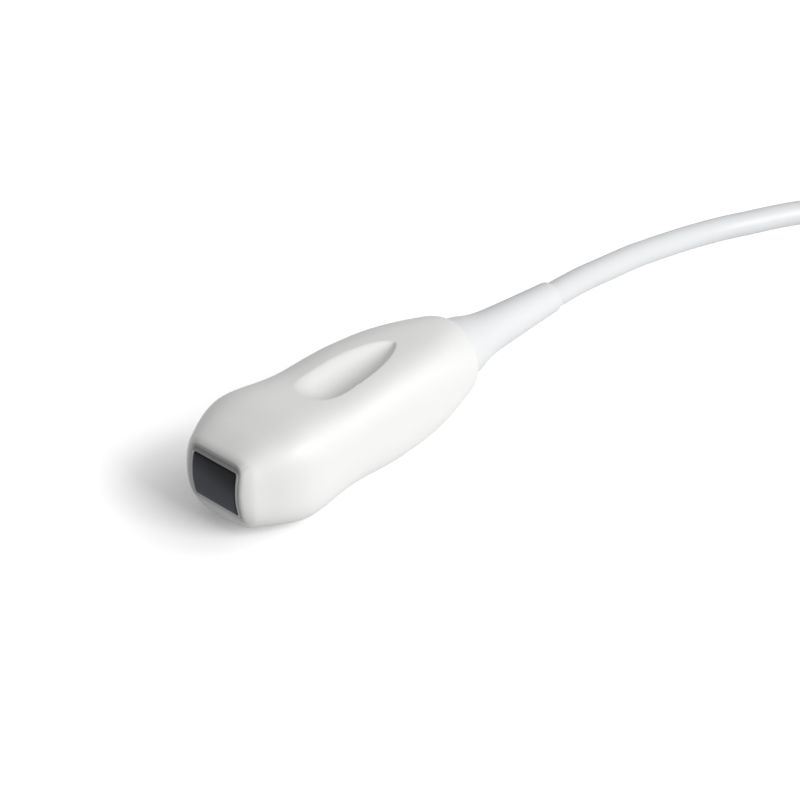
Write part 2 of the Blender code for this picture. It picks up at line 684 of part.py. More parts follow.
def make_carrier(stack_x, parent):
    """Aluminium frame round the backing block, with a flange behind the nose throat."""
    start = BEZEL_DEPTH + GAP
    end = start + CARRIER_DEPTH
    hole_w = BACKING_WIDTH + 2 * FIT
    hole_h = 2 * (flex_level() + FLEX_THICKNESS + FIT)
    tube_w, tube_h = BEZEL_WIDTH - 2 * FIT, hole_h + 2 * CARRIER_WALL
    flange_x = THROAT_DEPTH + SHOULDER_STEP + GAP + GASKET_THICKNESS + GAP
    corner = BEZEL_CORNER
    tube = rounded_rectangle(tube_w, tube_h, corner)
    flange = rounded_rectangle(FLANGE_WIDTH, FLANGE_HEIGHT, corner + 0.002)
    hole = rounded_rectangle(hole_w, hole_h, 0.0004)
    shape = [
        (start, tube), (flange_x, tube), (flange_x, flange), (flange_x + FLANGE_THICKNESS, flange),
        (flange_x + FLANGE_THICKNESS, tube), (end, tube), (end, hole), (start, hole),
    ]
    rings = [[(x, y, z) for y, z in outline] for x, outline in shape]
    add_object("array_carrier", skin(rings, ends_closed=False), "aluminium", parent)
    gasket_x = THROAT_DEPTH + SHOULDER_STEP + GAP
    margin = GASKET_MARGIN
    outer = rounded_rectangle(FLANGE_WIDTH - 2 * margin, FLANGE_HEIGHT - margin, corner + 0.002)
    inner = rounded_rectangle(tube_w + 2 * FIT, tube_h + 2 * FIT, corner)
    end_x = gasket_x + GASKET_THICKNESS
    shape = [(gasket_x, outer), (end_x, outer), (end_x, inner), (gasket_x, inner)]
    rings = [[(x, y, z) for y, z in outline] for x, outline in shape]
    add_object("nose_gasket", skin(rings, ends_closed=False), "rubber", parent)
    return end


# Chassis, boards, sockets, chips, shields and screws

CHASSIS_START = BEZEL_DEPTH + GAP + CARRIER_DEPTH + GAP
BOARD_START = CHASSIS_START + BOARD_SETBACK
BOARD_Z = CHASSIS_THICKNESS / 2 + BOSS_HEIGHT + GAP
BOARD_TOP = BOARD_Z + BOARD_THICKNESS
BOARD_LENGTH = CABLE_START - RIBBON_SPACE - BOARD_START
SHIELD_LENGTH = BOARD_LENGTH - 2 * (SOCKET_INSET + SOCKET_LENGTH + SHIELD_SPACE)
SHIELD_HEIGHT = SHIELD_SHARE * GRIP_HEIGHT
CHIP_LENGTH, CHIP_HEIGHT = CHIP_SHARE_LENGTH * SHIELD_LENGTH, CHIP_SHARE_HEIGHT * SHIELD_HEIGHT
CHIP_WIDTH = (BOARD_WIDTH - 2 * SHIELD_MARGIN - 2 * SHIELD_SHEET - 3 * CHIP_SPACE) / 2
CLAMP_START = CABLE_START + 2 * GAP + FERRULE_LENGTH + 0.0008
CLAMP_END = CLAMP_START + CLAMP_LENGTH


def boss_places():
    """The four places where each board is screwed down."""
    ends = (BOARD_START + BOSS_INSET, BOARD_START + BOARD_LENGTH - BOSS_INSET)
    side = BOARD_WIDTH / 2 - BOSS_INSET
    return [(x, y) for x in ends for y in (-side, side)]


def socket_places():
    return (BOARD_START + SOCKET_INSET, BOARD_START + BOARD_LENGTH - SOCKET_INSET - SOCKET_LENGTH)


def clamp_screw_places():
    middle = (CLAMP_START + CLAMP_END) / 2
    side = (CHASSIS_WIDTH / 2 + CABLE_RADIUS + FIT) / 2 + 0.0004
    return [(middle, -side), (middle, side)]


def make_chassis(parent):
    """A plate with bosses for the boards and a fork that carries the cable clamp."""
    half, notch = CHASSIS_WIDTH / 2, CABLE_RADIUS + FERRULE_WALL + 2 * FIT
    notch_x = CABLE_START - NOTCH_AHEAD
    outline = [
        (CHASSIS_START, -half), (CLAMP_END, -half), (CLAMP_END, -notch), (notch_x, -notch),
        (notch_x, notch), (CLAMP_END, notch), (CLAMP_END, half), (CHASSIS_START, half),
    ]
    sheet = plate(outline, -CHASSIS_THICKNESS / 2, CHASSIS_THICKNESS / 2)
    chassis = add_object("chassis", sheet, "aluminium", parent)
    reach = CHASSIS_THICKNESS / 2 + BOSS_HEIGHT
    for i, (x, y) in enumerate(boss_places()):
        boss = rod([(-reach, BOSS_RADIUS), (reach, BOSS_RADIUS)], 16, "Z", (x, y, 0.0))
        boss = add_object(f"boss_{i + 1}", boss, "aluminium", parent)
        boss.hide_render = True
        boss.display_type = "WIRE"
        union = chassis.modifiers.new(boss.name, "BOOLEAN")
        union.operation = "UNION"
        union.solver = "EXACT"
        union.object = boss
    holes = [(x, y, SCREW_RADIUS + FIT / 2) for x, y in boss_places()]
    holes += [(x, y, CLAMP_SCREW_RADIUS + FIT) for x, y in clamp_screw_places()]
    for i, (x, y, radius) in enumerate(holes):
        cut(chassis, make_hole_cutter(f"chassis_hole_{i + 1}", x, y, radius, parent))


def make_hole_cutter(name, x, y, radius, parent):
    reach = HEAD_HEIGHT / 2
    hole = rod([(-reach, radius), (reach, radius)], 12, "Z", (x, y, 0.0))
    return add_object(name, hole, "aluminium", parent)


def make_boards(parent):
    front, rear = socket_places()
    middle = (front + SOCKET_LENGTH + rear) / 2
    for side, word in ((1, "upper"), (-1, "lower")):
        low, high = sorted((side * BOARD_Z, side * BOARD_TOP))
        board = slab(BOARD_START, BOARD_START + BOARD_LENGTH, BOARD_WIDTH, low, high)
        board = add_object(f"board_{word}", board, "board", parent)
        for i, (x, y) in enumerate(boss_places()):
            hole = f"board_{word}_hole_{i + 1}"
            cut(board, make_hole_cutter(hole, x, y, SCREW_RADIUS + FIT / 2, parent))
            make_board_screw(f"board_screw_{word}_{i + 1}", x, y, side, parent)
        for x, what in ((front, "flex"), (rear, "coax")):
            base = BOARD_TOP + GAP
            low, high = sorted((side * base, side * (base + SOCKET_HEIGHT)))
            socket = slab(x, x + SOCKET_LENGTH, SOCKET_WIDTH, low, high)
            add_object(f"{what}_socket_{word}", socket, "socket", parent)
        half = CHIP_LENGTH / 2
        across = CHIP_WIDTH / 2 + CHIP_SPACE / 2
        for number, y in ((1, -across), (2, across)):
            low, high = sorted((side * (BOARD_TOP + GAP), side * (BOARD_TOP + GAP + CHIP_HEIGHT)))
            chip = slab(middle - half, middle + half, CHIP_WIDTH, low, high)
            bmesh.ops.translate(chip, verts=chip.verts, vec=(0.0, y, 0.0))
            add_object(f"chip_{word}_{number}", chip, "chip", parent)
        make_shield(f"shield_can_{word}", middle, side, parent)


def make_board_screw(name, x, y, side, parent):
    top = BOARD_TOP + GAP
    steps = [
        (side * (CHASSIS_THICKNESS / 2), SCREW_RADIUS - FIT / 2),
        (side * top, SCREW_RADIUS - FIT / 2),
        (side * top, SCREW_HEAD_RADIUS),
        (side * (top + SCREW_HEAD_HEIGHT), SCREW_HEAD_RADIUS),
    ]
    add_object(name, rod(steps, 12, "Z", (x, y, 0.0)), "screw", parent)


def make_shield(name, middle, side, parent):
    """A folded can over the chips, open towards the board."""
    base, top = BOARD_TOP + GAP, BOARD_TOP + GAP + SHIELD_HEIGHT
    length = SHIELD_LENGTH
    width = BOARD_WIDTH - 2 * SHIELD_MARGIN
    corners = ((-1, -1), (1, -1), (1, 1), (-1, 1))
    outer = [(a * length / 2, b * width / 2) for a, b in corners]
    sheet = SHIELD_SHEET
    inner = [(x - math.copysign(sheet, x), y - math.copysign(sheet, y)) for x, y in outer]
    levels = [(inner, top - sheet), (inner, base), (outer, base), (outer, top)]
    rings = [[(middle + x, y, side * z) for x, y in outline] for outline, z in levels]
    add_object(name, skin(rings), "tinplate", parent)


def make_coax_ribbons(parent):
    """The cable's fine coaxial leads, fanned out flat to each board's rear socket."""
    rear = socket_places()[1]
    plug_z = BOARD_TOP + 2 * GAP + SOCKET_HEIGHT
    plate_z = CHASSIS_THICKNESS / 2 + GAP
    board_end = BOARD_START + BOARD_LENGTH
    for side, word in ((1, "upper"), (-1, "lower")):
        steps = [
            (CABLE_START - GAP, 0.0064, GAP / 2, 0.0030),
            (CABLE_START - 0.0014, 0.0070, GAP, 0.0032),
            (CABLE_START - 0.0030, 0.0086, plate_z + 0.0004, 0.0036),
            (board_end + 0.0010, 0.0110, BOARD_TOP + 2 * GAP, BOARD_TOP + 0.0021),
            (rear + SOCKET_LENGTH, 0.0136, plug_z, plug_z + 0.0012),
            (rear, 0.0140, plug_z, plug_z + 0.0010),
        ]
        rings = []
        for x, width, low, high in steps:
            corners = [(-width / 2, low), (width / 2, low), (width / 2, high), (-width / 2, high)]
            rings.append([(x, y, side * z) for y, z in corners])
        add_object(f"coax_ribbon_{word}", skin(rings), "coax", parent)


# Cable end, clamp and boot

def make_clamp(parent):
    seat = CHASSIS_THICKNESS / 2 + GAP
    groove = rod(
        [(CLAMP_START - 0.002, CABLE_RADIUS + FIT), (CLAMP_END + 0.002, CABLE_RADIUS + FIT)], 24, "X"
    )
    groove = add_object("clamp_groove", groove, "aluminium", parent)
    for side, word in ((1, "upper"), (-1, "lower")):
        low, high = sorted((side * seat, side * (seat + CLAMP_HEIGHT)))
        half = slab(CLAMP_START, CLAMP_END, CHASSIS_WIDTH, low, high)
        half = add_object(f"cable_clamp_{word}", half, "aluminium", parent)
        cut(half, groove)
        for i, (x, y) in enumerate(clamp_screw_places()):
            hole = f"clamp_{word}_hole_{i + 1}"
            cut(half, make_hole_cutter(hole, x, y, CLAMP_SCREW_RADIUS + FIT, parent))
    top = seat + CLAMP_HEIGHT + GAP
    for i, (x, y) in enumerate(clamp_screw_places()):
        steps = [
            (-seat - CLAMP_HEIGHT, CLAMP_SCREW_RADIUS), (top, CLAMP_SCREW_RADIUS),
            (top, CLAMP_HEAD_RADIUS), (top + CLAMP_HEAD_HEIGHT, CLAMP_HEAD_RADIUS),
        ]
        add_object(f"clamp_screw_{i + 1}", rod(steps, 12, "Z", (x, y, 0.0)), "screw", parent)


def make_ferrule(parent):
    inner, outer = CABLE_RADIUS + FIT, CABLE_RADIUS + FIT + FERRULE_WALL
    start = CABLE_START + GAP
    profile = [(0.0, inner), (0.0, outer), (FERRULE_LENGTH, outer), (FERRULE_LENGTH, inner)]
    add_object("braid_ferrule", turned(profile, 24, "X", (start, 0.0, 0.0)), "screw", parent)


def make_boot(parent):
    """Soft moulded boot: a flange inside the tail, a neck in the bore, a long taper outside."""
    outside = HOUSING_LENGTH + GAP
    radius_at = spline([s for s, _ in BOOT_SHAPE], [r for _, r in BOOT_SHAPE])
    neck = BORE_RADIUS - FIT
    flange_end = HOUSING_LENGTH - BORE_DEPTH - 0.0012 - 2 * SEAL_RADIUS - GAP
    flange_start = flange_end - BOOT_FLANGE_THICKNESS
    bore = CABLE_RADIUS + FIT
    profile = [
        (flange_start, bore), (flange_start, BOOT_FLANGE_RADIUS), (flange_end, BOOT_FLANGE_RADIUS),
        (flange_end, neck), (outside, neck),
    ]
    count = 16
    profile += [(outside + BOOT_LENGTH * i / count, radius_at(i / count)) for i in range(count + 1)]
    profile.append((outside + BOOT_LENGTH, bore))
    add_object("strain_relief_boot", turned(profile, 24), "boot", parent)
    ring = []
    for degrees in range(0, 360, 60):
        a, middle = math.radians(degrees), neck + GAP + SEAL_RADIUS
        ring.append((SEAL_RADIUS * math.cos(a), middle + SEAL_RADIUS * math.sin(a)))
    centre = (flange_end + GAP / 2 + SEAL_RADIUS, 0.0, 0.0)
    add_object("boot_seal_ring", turned(ring, 24, "X", centre), "rubber", parent)


# Cable hank and strap

def hank_offset(share):
    """How far a turn is drawn in towards the waist, along the hank from 0 to 1."""
    return (HANK_LOOP_RADIUS - HANK_WAIST) * (1 - math.cos(2 * math.pi * share)) / 2


def hank_lift(share):
    """How far the hank rises off the table over its strap."""
    past = max(0.0, abs(share - 0.5) * HANK_RUN - STRAP_WIDTH / 2 - 0.003)
    return (STRAP_THICKNESS + 2 * GAP) * (1 + math.cos(math.pi * min(1.0, past / 0.016))) / 2


def make_hank():
    """The hank's outer shape: round ends, drawn-in waist."""
    height = TURNS_HIGH * CABLE_DIAMETER
    half = HANK_LOOP_RADIUS + (TURNS_WIDE - 0.5) * CABLE_DIAMETER
    outline = []
    for angle in range(90, 0, -10):
        a = math.radians(angle)
        outline.append((-half * math.sin(a), half * math.cos(a), 0.0))
    run = 24
    for i in range(run + 1):
        share = i / run
        outline.append((HANK_RUN * share, half - hank_offset(share), hank_lift(share)))
    for angle in range(10, 91, 10):
        a = math.radians(angle)
        outline.append((HANK_RUN + half * math.sin(a), half * math.cos(a), 0.0))
    rings = []
    for x, y, lift in outline:
        y = max(y, 0.0004)
        place = HANK_X + x
        rings.append(
            [
                (place, HANK_Y - y, lift), (place, HANK_Y + y, lift),
                (place, HANK_Y + y, lift + height), (place, HANK_Y - y, lift + height),
            ]
        )
    add_object("cable_hank", skin(rings), "cable")
    waist = half - hank_offset(0.5 + (STRAP_WIDTH / 2 + 0.003) / HANK_RUN)
    lift = hank_lift(0.5)
    middle = HANK_X + HANK_RUN / 2
    level = lift + height / 2
    inner = rounded_rectangle(2 * (waist + GAP), height + 2 * GAP, 0.0010)
    thick = STRAP_THICKNESS
    outer = rounded_rectangle(2 * (waist + GAP + thick), height + 2 * (GAP + thick), 0.0010 + thick)
    start, end = middle - STRAP_WIDTH / 2, middle + STRAP_WIDTH / 2
    rings = []
    for x, ring in ((start, outer), (end, outer), (end, inner), (start, inner)):
        rings.append([(x, HANK_Y + y, level + z) for y, z in ring])
    add_object("hank_strap", skin(rings, ends_closed=False), "strap")


# System connector

def make_connector(parent):
    """Two shell halves, a sheet-metal shroud with the contact block, and a board inside."""
    shroud_front = CONNECTOR_LENGTH + SHROUD_PROUD
    shroud_back = CONNECTOR_LENGTH - SHROUD_INSIDE
    for side, word in ((-1, "bottom"), (1, "top")):
        make_connector_shell(f"connector_shell_{word}", side, parent)
    outer = rounded_rectangle(SHROUD_WIDTH, SHROUD_HEIGHT, SHROUD_CORNER)
    sheet = SHROUD_SHEET
    inside = SHROUD_WIDTH - 2 * sheet, SHROUD_HEIGHT - 2 * sheet
    inner = rounded_rectangle(*inside, SHROUD_CORNER - sheet / 2)
    rings = []
    for x, ring in ((shroud_back, outer), (shroud_front, outer), (shroud_front, inner), (shroud_back, inner)):
        rings.append([(x, y, z) for y, z in ring])
    add_object("connector_shroud", skin(rings, ends_closed=False), "tinplate", parent)
    make_contact_block(shroud_front - INSERT_SETBACK, parent)
    board_start = CONNECTOR_WALL + PLUG_FLANGE_THICKNESS + 2 * GAP + 0.0006
    board_end = shroud_front - INSERT_SETBACK - INSERT_DEPTH - GAP
    half = PLUG_BOARD_THICKNESS / 2
    board = slab(board_start, board_end, PLUG_BOARD_WIDTH, -half, half)
    add_object("connector_board", board, "board", parent)
    make_plug_boot(parent)


def make_connector_shell(name, side, parent):
    wall = CONNECTOR_WALL
    throat_w, throat_h = SHROUD_WIDTH / 2 + FIT, SHROUD_HEIGHT / 2 + FIT
    bore = PLUG_BOOT_RADIUS + FIT
    length = CONNECTOR_LENGTH
    rings = []

    def outer_arc(x, inset=0.0):
        taper = CONNECTOR_TAPER * (1 - min(1.0, x / (0.45 * length))) ** 2
        half = CONNECTOR_WIDTH / 2 - taper - inset
        return arch(half, CONNECTOR_HEIGHT / 2 - inset, CONNECTOR_CORNER)

    def cavity(x):
        taper = CONNECTOR_TAPER * (1 - min(1.0, x / (0.45 * length))) ** 2
        half = CONNECTOR_WIDTH / 2 - taper - wall
        return arch(half, CONNECTOR_HEIGHT / 2 - wall, CONNECTOR_CORNER - wall)

    hole = arc_of(bore, bore, 2.0, 15)
    throat = arch(throat_w, throat_h, SHROUD_CORNER)
    lip_x = length - SHROUD_INSIDE - GAP
    places = [
        (0.0, outer_arc(0.0, 0.0008), hole), (0.0008, outer_arc(0.0008), hole),
        (wall, outer_arc(wall), hole), (wall + 0.0002, outer_arc(wall + 0.0002), cavity(wall)),
    ]
    count = 6
    for i in range(1, count + 1):
        x = wall + (lip_x - wall) * i / count
        places.append((x, outer_arc(x), cavity(x)))
    places.append((lip_x + 0.0002, outer_arc(length), throat))
    places += [(length - 0.0008, outer_arc(length), throat), (length, outer_arc(length, 0.0008), throat)]
    for x, outer, inner in places:
        section = shell_section(outer, inner, side, outer[0][0] - inner[0][0])
        rings.append([(x, y, z) for y, z in section])
    add_object(name, skin(rings), "connector_shell", parent)


def make_contact_block(front, parent):
    sheet = SHROUD_SHEET + FIT
    size = SHROUD_WIDTH - 2 * sheet, SHROUD_HEIGHT - 2 * sheet
    outline = rounded_rectangle(*size, SHROUD_CORNER - SHROUD_SHEET / 2)
    block = add_object("contact_block", prism(outline, front - INSERT_DEPTH, front), "socket", parent)
    cutter = bmesh.new()
    for row in range(CONTACT_ROWS):
        for column in range(CONTACT_COLUMNS):
            y = (column - (CONTACT_COLUMNS - 1) / 2) * CONTACT_PITCH_Y
            z = (row - (CONTACT_ROWS - 1) / 2) * CONTACT_PITCH_Z
            half = CONTACT_SIZE / 2
            hole = box((front - CONTACT_DEPTH, y - half, z - half), (front + 0.002, y + half, z + half))
            mesh = bpy.data.meshes.new("contact_hole")
            hole.to_mesh(mesh)
            hole.free()
            cutter.from_mesh(mesh)
            bpy.data.meshes.remove(mesh)
    cut(block, add_object("contact_holes", cutter, "socket", parent))


def make_plug_boot(parent):
    start = -PLUG_BOOT_LENGTH
    flange = CONNECTOR_WALL + 0.0002 + GAP
    bore = CABLE_RADIUS + FIT
    profile = [
        (start, bore), (start, PLUG_BOOT_TIP), (0.55 * start, PLUG_BOOT_NECK),
        (0.12 * start, PLUG_BOOT_RADIUS), (flange, PLUG_BOOT_RADIUS), (flange, PLUG_FLANGE_RADIUS),
        (flange + PLUG_FLANGE_THICKNESS, PLUG_FLANGE_RADIUS), (flange + PLUG_FLANGE_THICKNESS, bore),
    ]
    add_object("connector_boot", turned(profile, 24), "boot", parent)


# The whole model

MATERIALS = {}


def make_materials():
    finishes = {
        "housing": ((0.86, 0.86, 0.85), 0.38, 0.0),
        "bezel": ((0.62, 0.63, 0.64), 0.45, 0.0),
        "lens": ((0.045, 0.048, 0.055), 0.45, 0.0),
        "outer_matching_layer": ((0.30, 0.32, 0.30), 0.5, 0.0),
        "inner_matching_layer": ((0.16, 0.16, 0.17), 0.5, 0.0),
        "piezo": ((0.72, 0.66, 0.50), 0.5, 0.0),
        "backing": ((0.10, 0.10, 0.11), 0.6, 0.0),
        "flex": ((0.60, 0.32, 0.08), 0.35, 0.0),
        "aluminium": ((0.77, 0.78, 0.79), 0.35, 1.0),
        "rubber": ((0.08, 0.08, 0.08), 0.6, 0.0),
        "board": ((0.03, 0.22, 0.10), 0.45, 0.0),
        "socket": ((0.80, 0.78, 0.70), 0.5, 0.0),
        "chip": ((0.05, 0.05, 0.055), 0.5, 0.0),
        "tinplate": ((0.72, 0.72, 0.70), 0.3, 1.0),
        "screw": ((0.66, 0.66, 0.65), 0.3, 1.0),
        "coax": ((0.35, 0.42, 0.62), 0.5, 0.0),
        "boot": ((0.85, 0.86, 0.86), 0.5, 0.0),
        "cable": ((0.85, 0.86, 0.87), 0.5, 0.0),
        "strap": ((0.10, 0.10, 0.11), 0.9, 0.0),
        "connector_shell": ((0.80, 0.80, 0.79), 0.45, 0.0),
    }
    for name, (colour, roughness, metallic) in finishes.items():
        MATERIALS[name] = make_material(name, colour, roughness, metallic)


def make_probe():
    probe = add_empty("probe", (NOSE_X, 0.0, AXIS_Z))
    upper = make_shell("upper_housing", 1, probe)
    make_shell("lower_housing", -1, probe)
    cut(upper, make_dimple(probe))
    make_bezel(probe)
    make_lens(probe)
    make_carrier(make_stack(probe), probe)
    make_chassis(probe)
    make_boards(probe)
    make_coax_ribbons(probe)
    make_clamp(probe)
    make_ferrule(probe)
    make_boot(probe)


def main():
    clear_scene()
    make_materials()
    make_probe()
    boot_end = NOSE_X + PROBE_END
    places = [CABLE_INNER_END + (boot_end - CABLE_INNER_END) * i / 3 for i in range(4)]
    add_tube("cable", CABLE_ROUTE, "cable", [(x, 0.0, AXIS_Z) for x in places])
    make_hank()
    rest_z = TURNS_HIGH * CABLE_DIAMETER + GAP + CONNECTOR_HEIGHT / 2
    ends = [(CONNECTOR_X + step, CONNECTOR_Y, rest_z) for step in (-PLUG_BOOT_LENGTH, 0.0030)]
    add_tube("connector_lead", LEAD_ROUTE, "cable", after=ends)
    make_connector(add_empty("system_connector", (CONNECTOR_X, CONNECTOR_Y, rest_z)))


main()
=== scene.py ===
"""Looks of an ultrasound transducer probe: its moulded body, lens, boot, cable and system connector.

Everything is in metres, in the frame of the solids. The probe lies along X with its lens towards -X.
"""

import math

import bmesh
import bpy
import numpy as np
from bpy.props import FloatProperty, FloatVectorProperty, IntProperty, PointerProperty
from mathutils import Matrix, Vector


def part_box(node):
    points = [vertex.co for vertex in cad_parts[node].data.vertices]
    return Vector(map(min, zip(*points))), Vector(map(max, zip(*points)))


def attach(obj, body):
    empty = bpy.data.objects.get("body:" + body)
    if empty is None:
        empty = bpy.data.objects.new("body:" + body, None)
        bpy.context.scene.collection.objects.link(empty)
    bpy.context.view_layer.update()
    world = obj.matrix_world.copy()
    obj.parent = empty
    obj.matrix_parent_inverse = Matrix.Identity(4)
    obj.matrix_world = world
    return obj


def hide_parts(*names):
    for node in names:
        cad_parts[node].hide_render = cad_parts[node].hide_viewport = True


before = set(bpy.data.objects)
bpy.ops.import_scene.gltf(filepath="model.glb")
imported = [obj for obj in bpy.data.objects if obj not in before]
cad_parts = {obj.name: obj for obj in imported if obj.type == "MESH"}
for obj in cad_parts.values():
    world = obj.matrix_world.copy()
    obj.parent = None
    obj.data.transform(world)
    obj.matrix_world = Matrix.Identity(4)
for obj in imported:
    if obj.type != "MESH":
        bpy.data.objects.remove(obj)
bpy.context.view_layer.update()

bl_info = {
    "name": "Ultrasound probe looks",
    "version": (1, 0, 0),
    "blender": (4, 5, 0),
    "location": "View3D > Sidebar > Probe",
    "description": "Builds the skins, cable, materials and studio of a hand-held ultrasound probe",
    "category": "Object",
}

# Housing: share of its length, width, height
STATIONS = (
    (0.0, 0.0242, 0.0255),
    (0.086, 0.0342, 0.0278),
    (0.171, 0.0398, 0.0310),
    (0.267, 0.0392, 0.0308),
    (0.385, 0.0373, 0.0290),
    (0.513, 0.0370, 0.0305),
    (0.642, 0.0364, 0.0314),
    (0.770, 0.0348, 0.0311),
    (0.888, 0.0308, 0.0286),
    (1.0, 0.0257, 0.0244),
)
# Housing: how square its section is at shares of its length, and where its tail ends
SQUARENESS_PLACES = (0.0, 0.6, 1.0)
SQUARENESS = (3.6, 3.3, 2.1)
TAIL_END_RADIUS = 0.0118
# Housing: the brow behind the nose, the flat top with its near ridge, and how far back the crown reaches
BROW_LENGTH, BROW_DROP, BROW_SQUARENESS = 0.0090, 0.0030, 1.2
TOP_DROP, TOP_SQUARENESS = 0.0004, 1.1
TOP_RISE, TOP_FALL, NEAR_RIDGE = 0.16, 0.22, 0.5
CROWN_FADE = 0.0060
# Housing: its wall, the boot's bore, the nose's throat, the cavity between them, and the play between parts
WALL = 0.0020
BORE_RADIUS, BORE_DEPTH = 0.0080, 0.0045
THROAT_DEPTH, THROAT_MIDDLE = 0.0064, 0.0030
CAVITY_FRONT, CAVITY_REAR = 0.0010, 0.0015
MOUTH = 0.0002
FIT = 0.0003
BODY_RINGS, UPPER_POINTS, LOWER_POINTS, CAVITY_RINGS = 220, 192, 96, 30

# Thumb dimple: shares of its length, the powers that shape its outline, then its profile across
DIMPLE_WIDEST, DIMPLE_DEEPEST = 0.3, 0.36
DIMPLE_FRONT, DIMPLE_REAR, DIMPLE_NEAR, DIMPLE_FAR = 2.6, 2.4, 0.75, 0.55
DIMPLE_PROFILE, DIMPLE_NEAR_WALL, DIMPLE_FAR_WALL = 5.2, 0.97, 1.5

# Nose: how far the lens stands proud of the rim, then inset and height of each ring of an edge
LENS_PROUD, LENS_BACK, LENS_LEAST_CORNER = 0.0002, 0.0008, 0.0003
LENS_EDGE = ((0.0, 0.0003), (0.00008, 0.00012), (0.00022, 0.00003), (0.0005, 0.0))
RIM_BACK = 0.0032
RIM_FILL, RIM_CORNER_FILL = 1.9 * FIT, 0.9 * FIT
RIM_EDGE = ((0.0, -0.0003), (0.00006, -0.00012), (0.00018, -0.00003), (0.00034, 0.0))
RIM_INNER_EDGE = ((-0.0002, -0.0002, 0.0), (-0.00005, 0.0, -0.0001), (0.0, 0.0, -0.0003))

# Painted shade: reach in metres, and the share of the colour that is left where it is darkest
JOINT_START, JOINT_DEPTH, JOINT_LAP = 0.0002, 0.0028, 0.0004
JOINT_BAND, JOINT_BAND_END, JOINT_BAND_INSET, JOINT_BAND_TONE = 0.0034, 0.0036, 0.0014, 0.18
JOINT_EDGE, JOINT_EDGE_TONE = 0.0022, 0.60
RIM_SHADE, RIM_TONE = 0.0012, 0.40
LENS_SHADE, LENS_TONE, LENS_SHADE_TILT = 0.0074, 0.10, 0.15

# Boot: share of its length outside the housing, radius; then its root, bores and rounded edges
BOOT_SHAPE = (
    (0.0, 0.0106),
    (0.04, 0.0102),
    (0.085, 0.0097),
    (0.14, 0.0092),
    (0.20, 0.0084),
    (0.30, 0.0073),
    (0.47, 0.0065),
    (0.72, 0.0058),
    (1.0, 0.0051),
)
BOOT_RINGS, BOOT_ROOT, BOOT_ROOT_RADIUS, BOOT_BORE, TIP_BORE = 60, 0.0060, 0.0077, 0.0045, 0.0044
BOOT_EDGE = ((0.0, 0.0007), (0.0001, 0.0003), (0.0003, 0.0001))
BOOT_TIP = ((0.0003, 0.0), (0.0001, 0.0001), (0.0, 0.0004))

# Cable: from the housing to the hank, then from the hank to the connector
CABLE_ROUTE = (
    (0.0716, 0.0, 0.0156),
    (0.0915, 0.0019, 0.01375),
    (0.1056, 0.0029, 0.01185),
    (0.1203, 0.0042, 0.0096),
    (0.1343, 0.0045, 0.0074),
    (0.1472, 0.0039, 0.0057),
    (0.1588, 0.0021, 0.0047),
    (0.1689, -0.0009, 0.00432),
    (0.1779, -0.0047, 0.00428),
    (0.1872, -0.0086, 0.00428),
    (0.1955, -0.0128, 0.00428),
    (0.2102, -0.0225, 0.00428),
    (0.2252, -0.0340, 0.00428),
    (0.2400, -0.0450, 0.00428),
    (0.2540, -0.0512, 0.00428),
    (0.2640, -0.0528, 0.00428),
)
LEAD_ROUTE = (
    (0.2850, -0.0519, 0.0224),
    (0.3000, -0.0460, 0.0240),
    (0.3120, -0.0355, 0.0262),
    (0.3220, -0.0255, 0.0277),
    (0.3320, -0.0196, 0.0283),
    (0.3425, -0.0190, 0.0283),
    (0.3560, -0.0190, 0.0283),
)
CABLE_START, CABLE_SPACING = (-0.015, 0.0, 0.024), 0.003
# Hank: the middle of its near loop, its run and loops, the lift at the strap and the last turn's climb
HANK_X, HANK_Y = 0.2700, -0.0190
HANK_RUN, HANK_LOOP_RADIUS, HANK_PULL = 0.1275, 0.02975, 0.02125
HANK_STRAP_RISE, HANK_RISE_START, HANK_RISE_FALL = 0.0018, 0.0030, 0.0160
HANK_CLIMB, HANK_CLIMB_SHARE, HANK_TOP = 0.00895, 0.62, 0.0091
HANK_SWELL, HANK_LIFT = 0.0024, 0.0005
STRAND_STEPS, NEAR_STEPS = 24, 18

# Strap: half its width, corner radius, where its front end lies, and its section as shares of both sizes
STRAP_HALF, STRAP_CORNER, STRAP_BEGIN, STRAP_RAMP, STRAP_GAP = 0.0065, 0.0022, 0.0080, 0.0060, 0.0001
STRAP_STEPS, STRAP_AHEAD = 150, 0.0004
STITCH_POINTS, STITCH_ACROSS, STITCH_END, STITCH_RISE = 40, 0.80, 0.0020, 0.00012
STRAP_RIGHT = ((0.97, 0.5), (1, 0.25), (1, -0.25), (0.97, -0.5))
STRAP_SECTION = ((-1, 0.25), (-0.97, 0.5)) + STRAP_RIGHT + ((-0.97, -0.5), (-1, -0.25))

# System connector: the middle of its cable end, then the cover, ribs, sleeve and contacts
CONNECTOR_PLACE = (0.3605, -0.0190, 0.0283)
COVER_TAPER, COVER_TAPER_SHARE = 0.0060, 0.45
COVER_WALL, COVER_EDGE, COVER_BEVEL, COVER_SEAM = 0.0020, 0.0016, 0.00025, 0.00015
COVER_ENDS = (0.0, 0.0002, 0.0005, 0.0009, 0.0016)
COVER_FRONT, COVER_FRONT_MIDDLE, THROAT_CORNER = 0.0083, 0.0060, 0.0020
COVER_INSIDE, COVER_BOTH_ENDS, COVER_RINGS, COVER_STEP = 0.0040, 0.0124, 20, 0.0001
RIBS_MIDDLE, RIBS_HEIGHT, RIBS_SINK = 0.70, 0.55, 0.0001
SLEEVE_BORE, SLEEVE_ROOT, SLEEVE_TIP = 0.0078, 0.0072, 0.0053
SLEEVE_START, SLEEVE_END, SLEEVE_TAPER, SLEEVE_STEPS = -0.0018, 0.0022, 0.8, 84
SLEEVE_GROOVES, SLEEVE_GROOVE_DEPTH, SLEEVE_PLAIN = 6, 0.00045, 0.3
